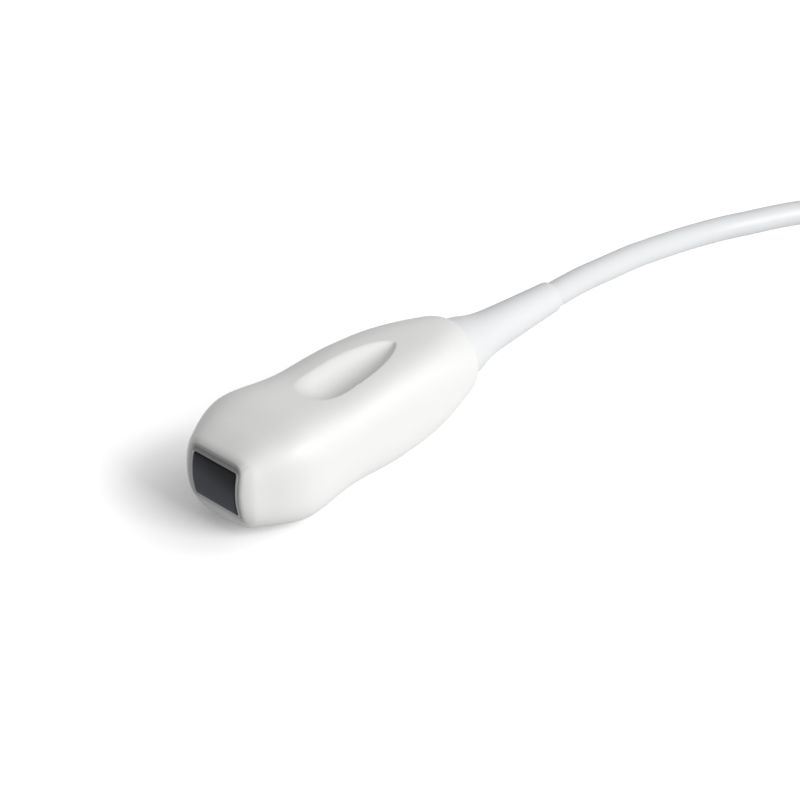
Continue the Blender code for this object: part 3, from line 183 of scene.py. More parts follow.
SLEEVE_FLANGE = ((-0.0001, 0.0045), (-0.0001, 0.0082))
SLEEVE_COLLAR = ((0.0026, 0.0082), (0.0026, 0.0074), (-0.0010, 0.0074), (-0.0016, SLEEVE_ROOT))
SLEEVE_MOUTH = ((0.0001, 0.0050), (0.0, 0.0047), (0.0, TIP_BORE))
CONTACT_COLUMNS, CONTACT_ROWS = 12, 3
CONTACT_PITCH_Y, CONTACT_PITCH_Z = 0.0030, 0.0034
CONTACT_DEPTH = 0.0035

# Camera: the photograph's viewpoint
CAMERA_PLACE = (-0.36371, -0.34215, 0.32263)
CAMERA_RIGHT = (0.6825, -0.7309, 0.0)
CAMERA_UP = (0.3877, 0.3620, 0.8478)
CAMERA_BACK = (-0.6196, -0.5786, 0.5304)

# Light: the lamp's place, aim and size, then the middle of a painted shadow on the floor, where the floor's
# own glow is least, and how the glow grows away from it
KEY_PLACE, KEY_AIM, KEY_SIZE = (0.16, -1.31, 0.72), (0.0, 0.0, 0.02), (0.8, 1.1)
PAINTED_SHADOW_MIDDLE = (-0.0599, 0.0113, 0.0)
GLOW_AND_PAINTED_SHADOW = {"From Min": 0.005, "From Max": 0.0484, "To Min": 0.13, "To Max": 0.535}
PAPER_TONE, SEEN_TONE = (0.5, 0.5, 0.5, 1.0), (0.95, 0.95, 0.95, 1.0)
WHITE = (1.0, 1.0, 1.0, 1.0)

# Surface groups: what they put out, and the shader's inputs for it in the same order
SURFACE = {"Colour": "Color", "Roughness": "Float", "Normal": "Vector"}
SHADER_INPUTS = ("Base Color", "Roughness", "Normal")

# Finishes of the hidden pieces, and how the names of the pieces that have them start
PATTERNED = {
    "filled_epoxy": (((0.30, 0.32, 0.30), (0.42, 0.43, 0.40)), 0.5, "Specks", 5000.0),
    "dark_epoxy": (((0.15, 0.15, 0.16), (0.26, 0.26, 0.27)), 0.5, "Specks", 5000.0),
    "diced_ceramic": (((0.72, 0.66, 0.50), (0.60, 0.54, 0.40)), 0.5, "Specks", 7000.0),
    "flecked_rubber": (((0.08, 0.08, 0.09), (0.28, 0.28, 0.29)), 0.6, "Specks", 4000.0),
    "amber_film": (((0.60, 0.30, 0.07), (0.48, 0.20, 0.05)), 0.3, "Lines", 3300.0, 0.4),
    "green_board": (((0.02, 0.20, 0.09), (0.03, 0.30, 0.14)), 0.4, "Lines", 1200.0, 0.35),
    "blue_ribbon": (((0.30, 0.38, 0.62), (0.16, 0.20, 0.36)), 0.5, "Lines", 2000.0, 0.2),
}
METALS = {
    "machined_aluminium": ((0.77, 0.78, 0.79), 0.35, 0.20, (200.0, 3000.0, 3000.0)),
    "plated_steel": ((0.66, 0.66, 0.65), 0.30, 0.15, (3000.0, 3000.0, 300.0)),
    "tinned_sheet": ((0.72, 0.72, 0.70), 0.32, 0.18),
}
PLASTICS = {
    "ivory_socket": ((0.78, 0.75, 0.66), 0.5, 0.06),
    "black_resin": ((0.035, 0.035, 0.038), 0.55, 0.15, 4000.0),
    "black_rubber": ((0.04, 0.04, 0.042), 0.65, 0.08),
    "black_contact_block": ((0.045, 0.045, 0.05), 0.5, 0.08),
}
INSIDE = {
    "filled_epoxy": "outer_matching_layer",
    "dark_epoxy": "inner_matching_layer",
    "diced_ceramic": "piezo_array",
    "flecked_rubber": "backing_block",
    "amber_film": "flex_",
    "green_board": "board_ connector_board",
    "blue_ribbon": "coax_ribbon",
    "machined_aluminium": "array_carrier chassis cable_clamp",
    "plated_steel": "board_screw clamp_screw braid_ferrule",
    "tinned_sheet": "shield_can connector_shroud",
    "ivory_socket": "flex_socket coax_socket",
    "black_resin": "chip_",
    "black_rubber": "nose_gasket boot_seal_ring",
    "black_contact_block": "contact_block",
}


# Settings


def metres(name, description, default):
    """A length that the user can change."""
    return FloatProperty(name=name, description=description, default=default, unit="LENGTH")


def paint(name, description, default):
    """A colour that the user can change."""
    words = {"name": name, "description": description, "default": default}
    return FloatVectorProperty(**words, subtype="COLOR", min=0, max=1)


class BodySettings(bpy.types.PropertyGroup):
    """Sizes and colour of the moulded body"""

    length: metres("Length", "Housing from nose face to tail", 0.0935)
    nose_round: metres("Nose rounding", "Length of the rounding behind the nose face", 0.0021)
    tail_round: metres("Tail rounding", "Length of the rounding at the tail", 0.0022)
    dimple_start: metres("Dimple start", "Front of the thumb dimple", 0.0308)
    dimple_end: metres("Dimple end", "Pointed rear of the thumb dimple", 0.0686)
    dimple_width: metres("Dimple width", "Widest part of the thumb dimple", 0.0152)
    dimple_depth: metres("Dimple depth", "Deepest part of the thumb dimple", 0.0039)
    dimple_side: metres("Dimple side", "Dimple's middle line off the probe's middle", -0.0014)
    colour: paint("Colour", "White of the moulding", (0.868, 0.866, 0.859))


class NoseSettings(bpy.types.PropertyGroup):
    """Sizes and colours of the bezel and lens"""

    bezel_width: metres("Bezel width", "Outside of the rim across the probe", 0.0182)
    bezel_height: metres("Bezel height", "Outside of the rim, bottom to top", 0.0150)
    bezel_corner: metres("Bezel corner", "Radius of the rim's corners", 0.0014)
    face_width: metres("Face width", "Flat nose face across the probe", 0.0200)
    face_height: metres("Face height", "Flat nose face, bottom to top", 0.0185)
    face_corner: metres("Face corner", "Radius of the nose face's corners", 0.0026)
    lens_width: metres("Lens width", "Lens across the probe", 0.0166)
    lens_height: metres("Lens height", "Lens, bottom to top", 0.0134)
    lens_corner: metres("Lens corner", "Radius of the lens's corners", 0.0008)
    crown: metres("Crown", "How far the middle of the nose stands forward", 0.0018)
    lens_colour: paint("Lens colour", "Charcoal of the silicone", (0.051, 0.055, 0.068))
    bezel_colour: paint("Bezel colour", "Grey of the rim", (0.56, 0.565, 0.57))


class CableSettings(bpy.types.PropertyGroup):
    """Sizes and colours of the cable and its boots"""

    diameter: metres("Diameter", "Outside of the cable's jacket", 0.0085)
    turns: IntProperty(name="Turns", description="Turns in the hank", default=4, min=1, max=4)
    colour: paint("Colour", "White of the jacket", (0.77, 0.785, 0.80))
    boot_length: metres("Boot length", "Boot outside the housing", 0.0474)
    boot_colour: paint("Boot colour", "White of the boot and sleeve", (0.80, 0.81, 0.82))


class StrapSettings(bpy.types.PropertyGroup):
    """Sizes and colours of the strap round the hank"""

    width: metres("Width", "Width of the webbing", 0.0130)
    thickness: metres("Thickness", "Thickness of the webbing", 0.0011)
    overlap: metres("Overlap", "Length of the closing end that lies on the strap", 0.0220)
    stitch: metres("Stitch", "Length of one stitch", 0.0016)
    thread: metres("Thread", "Radius of the thread", 0.00022)
    colour: paint("Colour", "Black of the webbing", (0.030, 0.030, 0.033))
    thread_colour: paint("Thread colour", "Grey of the thread", (0.20, 0.20, 0.21))


class ConnectorSettings(bpy.types.PropertyGroup):
    """Sizes and colour of the system connector"""

    length: metres("Length", "Cover along the cable", 0.0600)
    width: metres("Width", "Cover across the cable", 0.0540)
    height: metres("Height", "Both halves together", 0.0220)
    corner: metres("Corner", "Radius of the long edges", 0.0040)
    ribs: IntProperty(name="Ribs", description="Grip ribs on each side", default=9, min=0, max=20)
    rib_pitch: metres("Rib pitch", "From rib to rib", 0.0022)
    rib_radius: metres("Rib radius", "Half of a rib's thickness", 0.0006)
    pin_length: metres("Pin length", "Straight part of a contact pin", 0.0054)
    pin_radius: metres("Pin radius", "Half of a contact pin's thickness", 0.00035)
    cover_colour: paint("Cover colour", "Pale grey of the cover", (0.72, 0.73, 0.73))


class StudioSettings(bpy.types.PropertyGroup):
    """Lamp and sky"""

    key: FloatProperty(name="Key", description="Lamp at the near side", default=18.6, unit="POWER")
    sky: FloatProperty(name="Sky", description="Light from all round", default=0.36)


# Shapes and pieces


def smooth(share):
    """Eases from 0 to 1 as the share goes from 0 to 1."""
    share = min(1.0, max(0.0, share))
    return share * share * (3 - 2 * share)


def spline(places, values):
    """A smooth curve through the values, whose end pieces run on."""
    x, y = np.array(places, float), np.array(values, float)
    step, rise = np.diff(x), np.diff(y) / np.diff(x)
    n = len(x)
    rows, right = np.zeros((n, n)), np.zeros(n)
    for i in range(1, n - 1):
        rows[i, i - 1 : i + 2] = step[i - 1], 2 * (step[i - 1] + step[i]), step[i]
        right[i] = 6 * (rise[i] - rise[i - 1])
    rows[0, :3] = step[1], -(step[0] + step[1]), step[0]
    rows[-1, -3:] = step[-1], -(step[-2] + step[-1]), step[-2]
    bend = np.linalg.solve(rows, right)

    def read(at):
        i = int(np.clip(np.searchsorted(x, at) - 1, 0, n - 2))
        a, b, h = x[i + 1] - at, at - x[i], step[i]
        curve = (bend[i] * a**3 + bend[i + 1] * b**3) / (6 * h)
        return curve + (y[i] / h - bend[i] * h / 6) * a + (y[i + 1] / h - bend[i + 1] * h / 6) * b

    return read


def distances(points):
    """How far each point lies along the line through the points."""
    steps = np.linalg.norm(np.diff(np.array(points, float), axis=0), axis=1)
    return np.concatenate([[0.0], np.cumsum(steps)])


def even_line(points, spacing):
    """Points at an even spacing on a smooth curve through the given points."""
    lengths = distances(points)
    axes = [spline(lengths, values) for values in zip(*points)]
    count = max(2, round(lengths[-1] / spacing))
    return [[axis(lengths[-1] * i / count) for axis in axes] for i in range(count + 1)]


def add_line(curve, points):
    """Adds a line through the points to a curve."""
    line = curve.splines.new("POLY")
    line.points.add(len(points) - 1)
    for at, point in zip(line.points, points):
        at.co = (*point, 1.0)


def join_rings(bm, loops):
    """Adds the faces between each ring of vertices and the next."""
    for first, second in zip(loops, loops[1:]):
        for i in range(len(first)):
            j = (i + 1) % len(first)
            bm.faces.new((first[i], first[j], second[j], second[i]))


def skin(rings, ends_closed=True):
    """Joins rings of points into one closed surface."""
    bm = bmesh.new()
    loops = [[bm.verts.new(point) for point in ring] for ring in rings]
    if ends_closed:
        join_rings(bm, loops)
        bm.faces.new(loops[0])
        bm.faces.new(loops[-1])
    else:
        join_rings(bm, loops + loops[:1])
    return bm


def add_piece(name, mesh, stands_for, sharp=40):
    """Shades a mesh and makes it a piece that rides on the probe, in the place of some solids."""
    mesh.shade_smooth()
    mesh.set_sharp_from_angle(angle=math.radians(sharp))
    piece = bpy.data.objects.new(name, mesh)
    bpy.context.scene.collection.objects.link(piece)
    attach(piece, "root")
    if stands_for:
        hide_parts(*stands_for)


def finish_piece(name, bm, material, stands_for, sharp=50):
    """Turns a bmesh into a piece."""
    bmesh.ops.recalc_face_normals(bm, faces=bm.faces)
    mesh = bpy.data.meshes.new(name)
    bm.to_mesh(mesh)
    bm.free()
    mesh.materials.append(material)
    add_piece(name, mesh, stands_for, sharp)


def rounded_rectangle(width, height, corner, steps=7):
    """The outline of a rounded rectangle round the origin, as (y, z) points."""
    points = []
    for turn, (side_y, side_z) in enumerate(((1, 1), (-1, 1), (-1, -1), (1, -1))):
        for i in range(steps):
            angle = math.radians(90 * (turn + i / (steps - 1)))
            y = side_y * (width / 2 - corner) + corner * math.cos(angle)
            z = side_z * (height / 2 - corner) + corner * math.sin(angle)
            points.append((y, z))
    return points


def divided(points, steps, least=0.004):
    """The outline with its upright sides divided, so that they can bulge."""
    out = []
    for (y, z), (next_y, next_z) in zip(points, points[1:] + points[:1]):
        out.append((y, z))
        if abs(next_z - z) > least:
            out += [(y + (next_y - y) * k / steps, z + (next_z - z) * k / steps) for k in range(1, steps)]
    return out


def turned(profile, steps, centre):
    """Turns a closed profile of (x, radius) points round a line along X through the centre."""
    x, y, z = centre
    rings = []
    for i in range(steps):
        c, s = math.cos(2 * math.pi * i / steps), math.sin(2 * math.pi * i / steps)
        rings.append([(x + along, y + r * c, z + r * s) for along, r in profile])
    return skin(rings, ends_closed=False)


def rectangle_radius(half_width, half_height, corner, c, s):
    """Distance from the middle of a rounded rectangle to its outline, towards cosine c and sine s."""
    c, s = abs(c), abs(s)
    flat_y, flat_z = half_width - corner, half_height - corner
    if c * flat_z > s * half_width:
        return half_width / c
    if s * flat_y > c * half_height:
        return half_height / s
    return flat_y * c + flat_z * s + math.sqrt(corner**2 - (flat_y * s - flat_z * c) ** 2)


class Housing:
    """The housing's outside as a distance from its axis."""

    def __init__(self, scene):
        self.settings, self.nose = scene.probe_body, scene.probe_nose
        self.length = self.settings.length
        places = [s[0] * self.length for s in STATIONS]
        self.half_width = spline(places, [s[1] / 2 for s in STATIONS])
        self.half_height = spline(places, [s[2] / 2 for s in STATIONS])
        self.axis_z = max(self.half_height(self.length * i / 400) for i in range(401))
        self.nose_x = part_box("acoustic_lens")[0][0] + self.nose.crown + LENS_PROUD

    def radius(self, x, c, s):
        """Distance from the axis to the outside at x, towards cosine c and sine s."""
        brow = max(0.0, 1 - x / BROW_LENGTH) ** 2 if s > 0 else 0.0
        flat = self.flat_top(x / self.length) if s > 0 else 0.0
        squareness = float(np.interp(x / self.length, SQUARENESS_PLACES, SQUARENESS))
        power = squareness + BROW_SQUARENESS * brow + TOP_SQUARENESS * flat * smooth(-c / NEAR_RIDGE)
        wide, high = self.half_width(x), self.half_height(x) - BROW_DROP * brow - TOP_DROP * flat
        radius = (abs(c / wide) ** power + abs(s / high) ** power) ** (-1 / power)
        nose, before = self.nose, 1 - x / self.settings.nose_round
        if before > 0:
            edge = rectangle_radius(nose.face_width / 2, nose.face_height / 2, nose.face_corner, c, s)
            return edge + (radius - edge) * math.sqrt(max(0.0, 1 - before**2))
        past = (x - self.length + self.settings.tail_round) / self.settings.tail_round
        if past > 0:
            return TAIL_END_RADIUS + (radius - TAIL_END_RADIUS) * math.sqrt(max(0.0, 1 - past**2))
        return radius

    def flat_top(self, share):
        """How far the top is flattened beside its near ridge."""
        return smooth(share / TOP_RISE) * smooth((1 - share) / TOP_FALL)

    def crown(self, z):
        """How far the nose stands forward at a height above the axis."""
        return self.nose.crown * max(0.0, 1 - (2 * z / self.nose.face_height) ** 2)

    def dimple(self, x, y):
        """Depth of the thumb dimple at a place."""
        s = self.settings
        share = (x - s.dimple_start) / (s.dimple_end - s.dimple_start)
        if not 0 < share < 1:
            return 0.0
        if share < DIMPLE_WIDEST:
            near = far = (1 - (1 - share / DIMPLE_WIDEST) ** DIMPLE_FRONT) ** (1 / DIMPLE_FRONT)
        else:
            left = 1 - ((share - DIMPLE_WIDEST) / (1 - DIMPLE_WIDEST)) ** DIMPLE_REAR
            near, far = left**DIMPLE_NEAR, left**DIMPLE_FAR
        half = s.dimple_width / 2
        across = (y - s.dimple_side + half * near) / (half * (near + far))
        if not 0 < across < 1:
            return 0.0
        depth = s.dimple_depth * math.sin(math.pi / 2 * min(1.0, share / DIMPLE_DEEPEST)) * (near + far) / 2
        return depth * DIMPLE_PROFILE * across**DIMPLE_NEAR_WALL * (1 - across) ** DIMPLE_FAR_WALL


# Nodes and materials


def feed(tree, node, inputs):
    """Links or sets inputs of a node."""
    for key, given in inputs.items():
        for value in given if isinstance(given, list) else [given]:
            if isinstance(value, bpy.types.NodeSocket):
                tree.links.new(value, node.inputs[key])
            else:
                node.inputs[key].default_value = value


def adder(tree):
    """A way to add nodes to a tree: the kind, its inputs' links or values, and its settings."""

    def add(kind, inputs=None, **settings):
        node = tree.nodes.new(kind)
        for key, value in settings.items():
            setattr(node, key, value)
        feed(tree, node, inputs or {})
        return node

    return add


def maths(tree):
    """A way to add maths nodes to a tree: the operation, then its inputs' links or values."""
    add = adder(tree)

    def step(operation, *values):
        return add("ShaderNodeMath", dict(enumerate(values)), operation=operation).outputs[0]

    return step


def new_group(name, kind, inputs, outputs):
    """A node group: its inputs, ways to add nodes, and a way to end it. Words stand for kinds of socket."""
    tree = bpy.data.node_groups.new(name, kind)
    for in_out, sockets in (("INPUT", inputs), ("OUTPUT", outputs)):
        for key, value in sockets.items():
            word = value if isinstance(value, str) else type(value).__name__.title()
            if isinstance(value, tuple):
                word = {3: "Vector", 4: "Color"}[len(value)]
            socket = tree.interface.new_socket(key, in_out=in_out, socket_type="NodeSocket" + word)
            if word != value:
                socket.default_value = value
    put, add = tree.nodes.new("NodeGroupInput").outputs, adder(tree)

    def finish(*results):
        add("NodeGroupOutput", dict(zip(outputs, results)))
        return tree

    return put, add, maths(tree), finish


def moulded_grain(name):
    """Tone and roughness vary a little, and fine grain lifts the surface."""
    inputs = {"Colour": (0.8, 0.8, 0.8, 1.0), "Roughness": 0.4, "Grain": 0.02, "Scale": 2600.0}
    inputs["Variation"] = 0.02
    put, add, step, finish = new_group(name, "ShaderNodeTree", inputs, SURFACE)
    place = add("ShaderNodeTexCoord").outputs["Object"]
    broad = add("ShaderNodeTexNoise", {"Vector": place, "Scale": 60.0, "Detail": 3.0})
    fine = add("ShaderNodeTexNoise", {"Vector": place, "Scale": put["Scale"], "Detail": 2.0})
    centred = step("SUBTRACT", broad.outputs["Fac"], 0.5)
    amount = step("MULTIPLY_ADD", centred, put["Variation"], 1.0)
    tint = add("ShaderNodeVectorMath", {0: put["Colour"], "Scale": amount}, operation="SCALE")
    rough = step("MULTIPLY_ADD", centred, 0.12, put["Roughness"])
    grain = {"Height": fine.outputs["Fac"], "Strength": put["Grain"], "Distance": 0.0002}
    return finish(tint.outputs[0], rough, add("ShaderNodeBump", grain).outputs["Normal"])


def brushed_marks(name):
    """Long thin noise that shifts tone, roughness and height."""
    inputs = {"Colour": (0.7, 0.7, 0.7, 1.0), "Roughness": 0.3, "Brush": 0.15}
    inputs["Marks"] = (300.0, 4000.0, 4000.0)
    put, add, step, finish = new_group(name, "ShaderNodeTree", inputs, SURFACE)
    place = add("ShaderNodeTexCoord").outputs["Object"]
    spread = add("ShaderNodeVectorMath", {0: place, 1: put["Marks"]}, operation="MULTIPLY").outputs[0]
    noise = add("ShaderNodeTexNoise", {"Vector": spread, "Scale": 1.0, "Detail": 3.0}).outputs["Fac"]
    shade = add("ShaderNodeMapRange", {"Value": noise, "To Min": 0.82, "To Max": 1.0}).outputs["Result"]
    tint = add("ShaderNodeVectorMath", {0: put["Colour"], "Scale": shade}, operation="SCALE")
    rough = step("MULTIPLY_ADD", step("SUBTRACT", noise, 0.5), put["Brush"], put["Roughness"])
    bump = add("ShaderNodeBump", {"Height": noise, "Strength": 0.05, "Distance": 0.0001})
    return finish(tint.outputs[0], rough, bump.outputs["Normal"])


def printed_lines(name):
    """Parallel lines and round specks, as masks, for tracks, leads and fillers."""
    inputs = {"Lines": 1500.0, "Share": 0.5, "Specks": 2000.0, "Speck size": 0.2}
    outputs = {"Lines": "Float", "Specks": "Float"}
    put, add, step, finish = new_group(name, "ShaderNodeTree", inputs, outputs)
    place = add("ShaderNodeTexCoord").outputs["Object"]
    across = add("ShaderNodeSeparateXYZ", {0: place}).outputs["Y"]
    line = step("LESS_THAN", step("FRACT", step("MULTIPLY", across, put["Lines"])), put["Share"])
    cells = add("ShaderNodeTexVoronoi", {"Vector": place, "Scale": put["Specks"]})
    return finish(line, step("LESS_THAN", cells.outputs["Distance"], put["Speck size"]))


def plain_weave(name):
    """Plain weave over a piece's own UV map: threads that pass over and under each other, with a tone mask
    that is painted light on their crowns and painted shade between them, varied at random.
    """
    outputs = {"Height": "Float", "Shade": "Float"}
    put, add, step, finish = new_group(name, "ShaderNodeTree", {"Thread": 2200.0}, outputs)
    place = add("ShaderNodeUVMap", uv_map="weave").outputs["UV"]
    spread = add("ShaderNodeVectorMath", {0: place, "Scale": put["Thread"]}, operation="SCALE").outputs[0]
    split = add("ShaderNodeSeparateXYZ", {0: spread}).outputs
    along, across = [step("SINE", step("MULTIPLY", split[axis], math.pi)) for axis in ("X", "Y")]
    warp = step("MULTIPLY_ADD", step("MULTIPLY", along, across), 0.5, 0.5)
    noise = add("ShaderNodeTexNoise", {"Vector": spread, "Scale": 0.6, "Detail": 2.0}).outputs["Fac"]
    shade = add("ShaderNodeMapRange", {"Value": noise, "To Min": 0.6, "To Max": 1.5}).outputs["Result"]
    return finish(warp, step("MULTIPLY", warp, shade))


def new_material(name):
    """A plain material with a shader."""
    material = bpy.data.materials.new(name)
    material.use_nodes = True
    return material


def surface(material, inputs):
    """Links or sets inputs of a material's shader."""
    feed(material.node_tree, material.node_tree.nodes["Principled BSDF"], inputs)


def shared(material, build, values):
    """The outputs of a shared node group in a material, with the material's own values."""
    group = bpy.data.node_groups.get(build.__name__) or build(build.__name__)
    return adder(material.node_tree)("ShaderNodeGroup", values, node_tree=group).outputs


def moulded_plastic(name, colour, roughness, grain=0.02, scale=2600.0):
    """Plastic or rubber with a fine moulded grain and slight unevenness of tone."""
    material = new_material(name)
    values = {"Colour": (*colour, 1.0), "Roughness": roughness, "Grain": grain, "Scale": scale}
    found = shared(material, moulded_grain, values)
    surface(material, dict(zip(SHADER_INPUTS, found)))
    return material


def metal(name, colour, roughness, brush=0.15, marks=(300.0, 4000.0, 4000.0)):
    """Metal with fine brush marks that vary its tone and roughness."""
    material = new_material(name)
    values = {"Colour": (*colour, 1.0), "Roughness": roughness, "Brush": brush, "Marks": marks}
    found = shared(material, brushed_marks, values)
    surface(material, {**dict(zip(SHADER_INPUTS, found)), "Metallic": 1.0})
    return material


def two_toned(material, colours, mask, height, strength, distance):
    """Gives a material two colours, mixed by a mask, and lifts its surface by a height."""
    add = adder(material.node_tree)
    ground, marks = [(*colour, 1.0) for colour in colours]
    mix = add("ShaderNodeMix", {"Factor": mask, "A": ground, "B": marks}, data_type="RGBA")
    bump = add("ShaderNodeBump", {"Height": height, "Strength": strength, "Distance": distance})
    surface(material, {"Base Color": mix.outputs["Result"], "Normal": bump.outputs["Normal"]})


def patterned(name, colours, roughness, output, density, share=0.5):
    """A finish whose ground colour carries lines or specks of another colour."""
    material = new_material(name)
    mask = shared(material, printed_lines, {output: density, "Share": share})[output]
    surface(material, {"Roughness": roughness})
    two_toned(material, colours, mask, mask, 0.2, 0.00005)
    return material


def webbing(name, colour):
    """Woven nylon with a soft sheen, its colour painted lighter on the weave's crowns and darker in its
    hollows.
    """
    material = new_material(name)
    found = shared(material, plain_weave, {})
    surface(material, {"Roughness": 0.85, "Sheen Weight": 0.4})
    # painted light and shade: the dark colour lies in the weave's hollows, the light one on its crowns
    colours = [0.5 * c for c in colour], [min(1.0, 2.2 * c) for c in colour]
    two_toned(material, colours, found["Shade"], found["Height"], 0.7, 0.0002)
    return material


def object_place(tree):
    """X, Y and Z of the surface in the object's own coordinates."""
    add = adder(tree)
    return add("ShaderNodeSeparateXYZ", {0: add("ShaderNodeTexCoord").outputs["Object"]}).outputs


def eased(tree, value, start):
    """Eases from a start at 0 up to 1 at 1."""
    ends = {"Value": value, "To Min": start}
    return adder(tree)("ShaderNodeMapRange", ends, interpolation_type="SMOOTHSTEP").outputs["Result"]


def darkened(material, share):
    """Multiplies a material's colour by a share from 0 to 1."""
    tree = material.node_tree
    colour = tree.nodes["Principled BSDF"].inputs["Base Color"].links[0].from_socket
    ends = {"Factor": 1.0, "A": colour, "B": share}
    mix = adder(tree)("ShaderNodeMix", ends, data_type="RGBA", blend_type="MULTIPLY")
    surface(material, {"Base Color": mix.outputs["Result"]})


def joint_shade(material, place, half_width, half_height):
    """Painted shade on the moulding at the joint round the rim: a wide band above it, a soft edge elsewhere.
    """
    tree = material.node_tree
    step = maths(tree)
    x, y, z = object_place(tree)
    past_side = step("SUBTRACT", step("ABSOLUTE", y), half_width)
    past_top = step("SUBTRACT", z, place[2] + half_height)
    past_low = step("SUBTRACT", place[2] - half_height, z)
    past_any = step("MAXIMUM", past_side, step("MAXIMUM", past_top, past_low))
    behind = step("DIVIDE", step("SUBTRACT", x, place[0] + JOINT_START), JOINT_DEPTH)
    across = step("MAXIMUM", step("DIVIDE", step("ADD", past_side, JOINT_BAND_INSET), JOINT_BAND_END), 0.0)
    upward = step("MAXIMUM", step("DIVIDE", past_top, JOINT_BAND), 0.0)
    squares = step("ADD", step("MULTIPLY", across, across), step("MULTIPLY", upward, upward))
    above = step("MAXIMUM", step("SQRT", squares), step("DIVIDE", past_top, -JOINT_LAP))
    band = eased(tree, step("MAXIMUM", above, behind), JOINT_BAND_TONE)
    edge = eased(tree, step("MAXIMUM", step("DIVIDE", past_any, JOINT_EDGE), behind), JOINT_EDGE_TONE)
    darkened(material, step("MINIMUM", band, edge))


def rim_material(colour, top):
    """Pale grey plastic, with painted shade on the rim's upper side."""
    material = moulded_plastic("pale_rim", colour, 0.42)
    tree = material.node_tree
    step = maths(tree)
    down = step("DIVIDE", step("SUBTRACT", top, object_place(tree)[2]), RIM_SHADE)
    # painted shade: darker towards the rim's top
    darkened(material, eased(tree, down, RIM_TONE))
    return material


def lens_material(colour, top):
    """Charcoal silicone, with painted shade towards its upper edge."""
    material = moulded_plastic("charcoal_silicone", colour, 0.40, 0.01)
    surface(material, {"Specular IOR Level": 0.12})
    tree = material.node_tree
    step = maths(tree)
    x, y, z = object_place(tree)
    down = step("ADD", step("SUBTRACT", top, z), step("MULTIPLY", y, LENS_SHADE_TILT))
    # painted shade: darkest at the lens's top, more so towards the near side
    darkened(material, eased(tree, step("DIVIDE", down, LENS_SHADE), LENS_TONE))
    return material


def inside_materials():
    """The finishes of the pieces that the housing and the connector hide."""
    made = [patterned(name, *values) for name, values in PATTERNED.items()]
    made += [metal(name, *values) for name, values in METALS.items()]
    made += [moulded_plastic(name, *values) for name, values in PLASTICS.items()]
    return {material.name: material for material in made}


# Node trees


def node_piece(name, build, values, material, base=None):
    """Makes a plain mesh piece from a Geometry Nodes tree and its inputs' values."""
    if base is None:
        base = bpy.data.objects.new(name + "_base", bpy.data.meshes.new(name + "_base"))
    bpy.context.scene.collection.objects.link(base)
    modifier = base.modifiers.new(name, "NODES")
    modifier.node_group = build(name, values)
    items = modifier.node_group.interface.items_tree
    sockets = {item.name: item for item in items if item.in_out == "INPUT"}
    for key, value in {**values, "Material": material}.items():
        modifier[sockets[key].identifier] = value
    depsgraph = bpy.context.evaluated_depsgraph_get()
    mesh = bpy.data.meshes.new_from_object(base.evaluated_get(depsgraph))
    bpy.data.objects.remove(base, do_unlink=True)
    mesh.name = name
    add_piece(name, mesh, ())


def geometry_tree(name, sizes):
    """A Geometry Nodes tree with inputs for its sizes and material, which ends in real, painted pieces."""
    sizes = {**sizes, "Material": "Material"}
    put, add, step, finish = new_group(name, "GeometryNodeTree", sizes, {"Geometry": "Geometry"})

    def painted(instances):
        real = add("GeometryNodeRealizeInstances", {"Geometry": instances}).outputs["Geometry"]
        done = add("GeometryNodeSetMaterial", {"Geometry": real, "Material": put["Material"]})
        return finish(done.outputs["Geometry"])

    return put, add, step, painted


def pins_tree(name, sizes):
    """Rows of round pins with pointed tips that face +X, on a grid across the connector."""
    put, add, step, painted = geometry_tree(name, sizes)
    forward = (0.0, math.pi / 2, 0.0)
    grid = {
        "Size X": step("MULTIPLY", step("SUBTRACT", put["Rows"], 1.0), put["Pitch Z"]),
        "Size Y": step("MULTIPLY", step("SUBTRACT", put["Columns"], 1.0), put["Pitch Y"]),
        "Vertices X": put["Rows"],
        "Vertices Y": put["Columns"],
    }
    grid = add("GeometryNodeMeshGrid", grid).outputs["Mesh"]
    places = {"Geometry": grid, "Rotation": forward, "Translation": put["Place"]}
    places = add("GeometryNodeTransform", places).outputs["Geometry"]
    shaft = {"Vertices": 12, "Radius": put["Radius"], "Depth": put["Length"]}
    shaft = add("GeometryNodeMeshCylinder", shaft).outputs["Mesh"]
    tip = {"Vertices": 12, "Radius Bottom": put["Radius"], "Depth": put["Radius"]}
    tip["Radius Top"] = step("MULTIPLY", put["Radius"], 0.45)
    tip = add("GeometryNodeMeshCone", tip).outputs["Mesh"]
    rise = add("ShaderNodeCombineXYZ", {"Z": step("MULTIPLY", put["Length"], 0.5)}).outputs[0]
    tip = add("GeometryNodeTransform", {"Geometry": tip, "Translation": rise}).outputs["Geometry"]
    pin = add("GeometryNodeJoinGeometry", {"Geometry": [shaft, tip]}).outputs["Geometry"]
    pin = add("GeometryNodeTransform", {"Geometry": pin, "Rotation": forward}).outputs["Geometry"]
    placed = add("GeometryNodeInstanceOnPoints", {"Points": places, "Instance": pin})
    return painted(placed.outputs["Instances"])


def ribs_tree(name, sizes):
    """Upright half-round ribs in a row on both sides of the connector's cover."""
    put, add, step, painted = geometry_tree(name, sizes)
    pitch = add("ShaderNodeCombineXYZ", {"X": put["Pitch"]}).outputs[0]
    rib = {"Vertices": 16, "Radius": put["Radius"], "Depth": put["Height"]}
    rib = add("GeometryNodeMeshCylinder", rib).outputs["Mesh"]
    rows = []
    for sign in (1.0, -1.0):
        side = add("ShaderNodeCombineXYZ", {"Y": step("MULTIPLY", put["Side"], sign)}).outputs[0]
        start = add("ShaderNodeVectorMath", {0: put["Place"], 1: side}, operation="ADD").outputs[0]
        row = {"Count": put["Count"], "Start Location": start, "Offset": pitch}
        row = add("GeometryNodeMeshLine", row).outputs["Mesh"]
        placed = add("GeometryNodeInstanceOnPoints", {"Points": row, "Instance": rib})
        rows.append(placed.outputs["Instances"])
    return painted(add("GeometryNodeJoinGeometry", {"Geometry": rows}).outputs["Geometry"])


